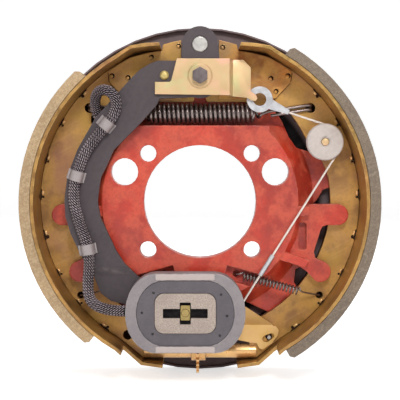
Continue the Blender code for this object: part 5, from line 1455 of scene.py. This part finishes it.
@dataclass
class SpringSet(Assembly):
    """The springs between the shoes and those that hold them to the casting."""

    mean_radius: float = 7.9
    wire: float = 2.9
    turns: int = 22
    span: Tuple[float, float] = (-43.5, 46.0)
    axis_y: float = 1.0
    axis_z: float = 77.2
    hole: Tuple[float, float] = (98.8, 82.6)
    taper_steps: int = 36
    taper_turn: float = 12.0
    taper_reach: float = 8.0
    taper_radius: float = 2.0
    hook_half: float = 1.95
    hook_step: float = 0.9
    coil_steps: int = 32
    coil_start: float = 90.0
    sides: int = 14
    small_sides: int = 10
    small_wire: float = 1.5
    small_steps: int = 24
    hold_hole: Tuple[float, float] = (31.8, -64.0)
    hold_web_hole: Tuple[float, float] = (106.6, -84.5)
    hold_radius: float = 3.2
    hold_turns: int = 17
    hold_span: Tuple[float, float] = (6.5, 57.0)
    groove: float = 3.6
    adjuster_hole: Tuple[float, float] = (50.0, -110.0)
    adjuster_y: float = 15.6
    adjuster_reach: float = 24.0
    adjuster_radius: float = 3.0
    adjuster_turns: int = 16
    web_front_y: float = 5.0
    web_back_y: float = 11.0
    gap: float = 0.3
    hook_gap: float = 0.2
    coil_gap: float = 0.1
    point_step: float = 0.8

    def retractor_hook(self, side: int, start_x: float) -> Tuple[List[Point], List[Point]]:
        """The taper and the double-wire hook at one end.

        Args:
            side: -1 or 1.
            start_x: Where the coil ends.

        Returns:
            The taper's points and the hook's points.
        """
        y, z = self.axis_y, self.axis_z
        hole_x, hole_z = side * self.hole[0], self.hole[1]
        taper = []
        for index in range(1, self.taper_steps + 1):
            part = index / self.taper_steps
            angle = math.radians(self.coil_start + self.taper_turn * index * side)
            radius = self.mean_radius - (self.mean_radius - self.taper_radius) * part
            taper.append((start_x + side * self.taper_reach * part, y + radius * math.cos(angle),
                          z + radius * math.sin(angle) * -side))
        over = self.web_front_y - self.gap - self.wire / 2 - self.hook_gap
        half = self.hook_half
        way_in = [(hole_x - side * 4.5, over, half), (hole_x - side * 0.6, over + 0.9, half),
                  (hole_x, over + 3.0, half), (hole_x, over + 7.5, half * 0.8)]
        run = [(start_x + side * 14.0, y + 0.6, z + half),
               *[(px, py, hole_z + up) for px, py, up in way_in], (hole_x, over + 8.2, hole_z),
               *[(px, py, hole_z - up) for px, py, up in way_in[::-1]],
               (start_x + side * 17.0, y + 0.8, z - half + 0.4)]
        return taper, even_path(run, self.hook_step)

    def retractor(self) -> None:
        """Winds the large spring, in two halves."""
        body = helix((self.span[0], self.axis_y, self.axis_z), (self.span[1], self.axis_y, self.axis_z),
                     self.mean_radius, self.turns, self.coil_steps, self.coil_start)
        right_taper, right_run = self.retractor_hook(1, self.span[1])
        left_taper, left_run = self.retractor_hook(-1, self.span[0])
        points = left_run[::-1] + left_taper[::-1] + body + right_taper + right_run
        middle = len(points) // 2
        halves = (("left", points[:middle + 1], Body.PRIMARY, body[0]),
                  ("right", points[middle:], Body.SECONDARY, body[-1]))
        for label, route, shoe, coil_end in halves:
            wire = self.shop.sweep("retractor_spring_wire_" + label, route, self.wire / 2,
                                   self.finishes.spring, self.sides)
            settle(wire, Bend(Body.BASE, shoe, points[middle], coil_end), "retractor_spring")

    def hold_down(self, label: str, side: int, shoe: Body) -> None:
        """Winds one small spring from the casting to a web.

        Args:
            label: "left" or "right".
            side: -1 or 1.
            shoe: The shoe that it holds.
        """
        hx, hz = self.hold_hole
        wx, wz = self.hold_web_hole
        half = self.small_wire / 2
        axis_y = -self.groove - self.gap - self.hold_radius - half - self.coil_gap
        along = Vector((wx - hx, wz - hz)).normalized()
        start, end = [Vector((hx, hz)) + along * reach for reach in self.hold_span]
        body = helix((start.x, axis_y, start.y), (end.x, axis_y, end.y), self.hold_radius, self.hold_turns,
                     self.small_steps)
        first = even_path([(hx, -0.6, hz), (hx, axis_y + 1.6, hz), (hx + 1.2, axis_y, hz - 0.4), body[0]],
                          self.point_step)
        over = self.web_front_y - self.gap - half
        last = even_path([body[-1], (end.x + 3.0, axis_y + 0.6, end.y - 0.6),
                          (wx - 1.6, over - 0.2, wz + 0.4), (wx, over + 2.0, wz),
                          (wx, self.web_back_y + 1.5, wz)], self.point_step)
        points = [(side * x, y, z) for x, y, z in first[:-1] + body + last[1:]]
        wire = self.shop.sweep("hold_spring_%s_wire" % label, points, half, self.finishes.spring,
                               self.small_sides)
        stretch = Bend(Body.BASE, shoe, (side * start.x, axis_y, start.y), (side * end.x, axis_y, end.y))
        settle(wire, stretch, "hold_spring_" + label)

    def adjuster(self) -> None:
        """Winds the spring behind the webs."""
        hx, hz = self.adjuster_hole
        y, reach, half = self.adjuster_y, self.adjuster_reach, self.small_wire / 2
        body = helix((-reach, y, hz), (reach, y, hz), self.adjuster_radius, self.adjuster_turns,
                     self.small_steps)
        seat = hx - 2.4 + half + self.gap
        hook = [(30.0, y - 0.6, hz), (seat - 2.0, y - 2.0, hz), (seat, y - 4.0, hz),
                (seat, self.web_front_y + 0.6, hz)]
        right = even_path([body[-1], *hook], self.point_step)[1:]
        left = even_path([body[0], *[(-x, py, z) for x, py, z in hook]], self.point_step)[1:]
        wire = self.shop.sweep("adjuster_spring_wire", left[::-1] + body + right, half,
                               self.finishes.spring, self.small_sides)
        settle(wire, Body.BASE, "adjuster_spring")

    def build(self) -> None:
        """Winds all springs."""
        self.retractor()
        self.hold_down("left", -1, Body.PRIMARY)
        self.hold_down("right", 1, Body.SECONDARY)
        self.adjuster()
        LOG.info("springs: retractor, two hold springs, adjuster spring")


@dataclass
class CableRun(Assembly):
    """The adjuster's cable with its eyelet, pulley and ferrule."""

    strands: int = 6
    strand_radius: float = 0.34
    centre_radius: float = 0.62
    core_radius: float = 0.5
    strand_step: float = 0.6
    pitch: float = 9.0
    pulley: Tuple[float, float] = (109.3, 52.1)
    groove_radius: float = 14.5
    pulley_y: float = -13.0
    wrap: Tuple[float, float] = (71.36, -32.49)
    wrap_steps: int = 14
    start: Point = (78.37, -10.2, 77.84)
    leave: Point = (121.53, -13.0, 44.31)
    hook: Point = (32.5, -16.5, -95.5)
    ferrule_share: float = 0.715
    share_step: float = 0.0265
    share_steps: int = 11
    upper_share: float = 0.4
    pawl_shares: Tuple[float, float] = (0.8, 1.0)
    upper_end: Point = (96.4, -11.6, 53.8)

    def upper_route(self) -> List[Point]:
        """The cable's points, from the eyelet round the pulley to the ferrule.

        Returns:
            The points, in millimetres.
        """
        points = [self.start]
        for index in range(self.wrap_steps + 1):
            turn = (self.wrap[1] - self.wrap[0]) * index / self.wrap_steps
            angle = math.radians(self.wrap[0] + turn)
            points.append((self.pulley[0] + self.groove_radius * math.cos(angle), self.pulley_y,
                           self.pulley[1] + self.groove_radius * math.sin(angle)))
        return points + [self.along_run(self.upper_share), self.along_run(self.ferrule_share)]

    def lower_route(self) -> List[Point]:
        """The cable's points, from the ferrule to its turn in behind the pawl.

        Returns:
            The points, in millimetres.
        """
        x, y, z = self.hook
        run = [self.along_run(self.ferrule_share + step * self.share_step)
               for step in range(self.share_steps)]
        return run + [(x, y + 1.4, z), (x, y + 11.0, z)]

    def along_run(self, share: float) -> Point:
        """A point on the straight run from the pulley to the pawl, by its share of the way."""
        leave = Vector(self.leave)
        return tuple(leave + (Vector(self.hook) - leave) * share)

    def rope(self, name: str, route: Sequence[Point], bend: Bend) -> None:
        """Winds one length of the cable.

        Args:
            name: The length's name.
            route: Its points.
            bend: The bodies that it runs between.
        """
        piece = self.shop.grow(
            name, route, self.shop.strands, True, Strands=self.strands, Pitch=self.pitch * MM,
            Centre_Radius=self.centre_radius * MM, Wave=0.0, Strand_Radius=self.strand_radius * MM,
            Sides=6, Core_Radius=self.core_radius * MM, Step=self.strand_step * MM, Counter_Wound=False,
            Strand_Finish=self.finishes.rope, Core_Finish=self.finishes.steel)
        settle(piece, bend, "adjuster_cable")

    def build(self) -> None:
        """Dresses the cable's pieces."""
        refine("cable_eyelet", Body.BASE, self.finishes.eyelet, Edge.FULL)
        upper = Bend(Body.BASE, Body.SECONDARY, self.start, self.upper_end)
        first, last = [self.along_run(share) for share in self.pawl_shares]
        lower = Bend(Body.SECONDARY, Body.PAWL, first, last)
        refine("cable_ferrule", upper, self.finishes.eyelet, Edge.THIN)
        refine("cable_pulley", Body.PULLEY, self.finishes.nylon, Edge.PLAIN)
        refine("pulley_stud", Body.SECONDARY, self.finishes.pale, Edge.PLAIN)
        self.rope("adjuster_cable_upper", self.upper_route(), upper)
        self.rope("adjuster_cable_lower", self.lower_route(), lower)
        LOG.info("cable: rope, eyelet, ferrule, pulley, stud")


@dataclass
class Adjuster(Assembly):
    """The adjuster with its star wheel, and the pawl that turns it."""

    def build(self) -> None:
        """Refines the adjuster's pieces."""
        refine("adjuster_nut", Body.BASE, self.finishes.tube, Edge.PLAIN)
        refine("adjuster_socket", Body.BASE, self.finishes.tube, Edge.PLAIN)
        refine("adjuster_screw", Body.STAR, self.finishes.tube, Edge.SLIGHT)
        refine("adjuster_pawl", Body.PAWL, self.finishes.pawl, Edge.SOFT)
        refine("pawl_pin", Body.SECONDARY, self.finishes.steel, Edge.THIN)
        LOG.info("adjuster: nut, socket, screw with star wheel, pawl, pin")


@dataclass(frozen=True)
class Lamp:
    """A soft square lamp that points at the brake: place and side in metres, power in watts."""

    name: str
    place: Point
    side: float
    power: float

    def hang(self) -> None:
        """Adds the lamp to the scene."""
        data = bpy.data.lights.new(self.name, "AREA")
        data.shape = "SQUARE"
        data.size = self.side
        data.energy = self.power
        lamp = add_object(self.name, data)
        lamp.location = self.place
        aim = Vector((0.0, 0.0, 0.0)) - Vector(self.place)
        lamp.rotation_euler = aim.to_track_quat("-Z", "Y").to_euler()


@dataclass
class Studio:
    """Camera, lights, floor and backdrop, in metres."""

    camera_place: Point = (0.0, -0.888, 0.0447)
    lens: float = 90.0
    sensor: float = 36.0
    lens_drop: float = 0.124
    clip_range: Tuple[float, float] = (0.02, 20.0)
    room_light: float = 0.33
    lamps: Tuple[Lamp, ...] = (
        Lamp("key_lamp", (0.12, -1.25, 0.85), 0.34, 11.6),
        Lamp("left_lamp", (-1.2, -1.15, 0.35), 1.0, 4.4),
        Lamp("right_lamp", (1.2, -1.15, 0.35), 1.0, 4.4),
        Lamp("top_lamp", (0.0, 0.05, 1.5), 0.8, 7.0),
        Lamp("rim_lamp_left", (-1.3, 0.25, 0.3), 0.6, 3.0),
        Lamp("rim_lamp_right", (1.3, 0.25, 0.3), 0.6, 3.0),
        Lamp("back_lamp", (0.4, 1.6, 0.8), 0.9, 4.0))
    floor_z: float = -0.1594
    floor_front: float = -6.0
    floor_back: float = 2.2
    half_width: float = 6.0
    wall_top: float = 6.0
    curve: float = 0.8
    curve_steps: int = 12
    paleness: float = 0.85
    glow: float = 0.62

    def camera(self) -> None:
        """Puts the camera at the photograph's place."""
        data = bpy.data.cameras.new("front_camera")
        data.lens = self.lens
        data.sensor_width = self.sensor
        data.shift_y = -self.lens_drop
        data.clip_start, data.clip_end = self.clip_range
        view = add_object("front_camera", data)
        view.location = self.camera_place
        view.rotation_euler = (math.pi / 2, 0.0, 0.0)
        bpy.context.scene.camera = view

    def lights(self) -> None:
        """Hangs the lamps and lights the room."""
        for lamp in self.lamps:
            lamp.hang()
        world = bpy.data.worlds.new("soft_room")
        bpy.context.scene.world = world
        world.use_nodes = True
        background = world.node_tree.nodes["Background"].inputs
        background["Color"].default_value = (1.0, 1.0, 1.0, 1.0)
        background["Strength"].default_value = self.room_light

    def white(self) -> bpy.types.Material:
        """A pale surface that the camera sees as white and that still takes a shadow.

        Returns:
            The material.
        """
        material = bpy.data.materials.new("studio_white")
        material.use_nodes = True
        material.node_tree.nodes.clear()
        graph = Graph(material.node_tree)
        matt = graph.first("ShaderNodeBsdfDiffuse", {"Color": (*[self.paleness] * 3, 1.0)})
        glowing = graph.first("ShaderNodeEmission", {"Color": (1.0, 1.0, 1.0, 1.0), "Strength": self.glow})
        both = graph.first("ShaderNodeAddShader", {0: matt, 1: glowing})
        rays = graph.add("ShaderNodeLightPath").outputs
        seen = graph.math("MAXIMUM", rays["Is Camera Ray"], rays["Is Glossy Ray"])
        seen = graph.math("MAXIMUM", seen, rays["Is Transmission Ray"])
        mix = graph.first("ShaderNodeMixShader", {0: seen, 1: matt, 2: both})
        graph.add("ShaderNodeOutputMaterial", {"Surface": mix})
        return material

    def stage(self) -> None:
        """Lays the floor with a wall that rises from it in one sweep."""
        profile = [(self.floor_front, 0.0), (self.floor_back, 0.0)]
        for index in range(1, self.curve_steps + 1):
            angle = math.pi / 2 * index / self.curve_steps
            profile.append((self.floor_back + self.curve * math.sin(angle),
                            self.curve - self.curve * math.cos(angle)))
        profile.append((self.floor_back + self.curve, self.wall_top))
        verts = [(x, y, z + self.floor_z) for y, z in profile for x in (-self.half_width, self.half_width)]
        faces = [(2 * i, 2 * i + 1, 2 * i + 3, 2 * i + 2) for i in range(len(profile) - 1)]
        mesh = bpy.data.meshes.new("studio_sweep")
        mesh.from_pydata(verts, [], faces)
        mesh.shade_smooth()
        mesh.materials.append(self.white())
        add_object("studio_sweep", mesh)

    def build(self) -> None:
        """Builds the studio."""
        self.camera()
        self.lights()
        self.stage()
        bpy.context.scene.view_settings.view_transform = "Standard"
        LOG.info("studio: camera, lamps, sweep")


def main() -> None:
    """Builds the whole picture."""
    logging.basicConfig(level=logging.INFO, format="%(name)s: %(message)s")
    Studio().build()
    finishes = Finishes()
    shop = Workshop()
    LeadHarness(shop, finishes).build()
    BackingPlate(shop, finishes).build()
    BrakeShoe(shop, finishes, Side.PRIMARY).build()
    BrakeShoe(shop, finishes, Side.SECONDARY).build()
    AnchorGroup(shop, finishes).build()
    LeverArm(shop, finishes).build()
    MagnetUnit(shop, finishes).build()
    SpringSet(shop, finishes).build()
    CableRun(shop, finishes).build()
    Adjuster(shop, finishes).build()


if __name__ == "__main__":
    main()
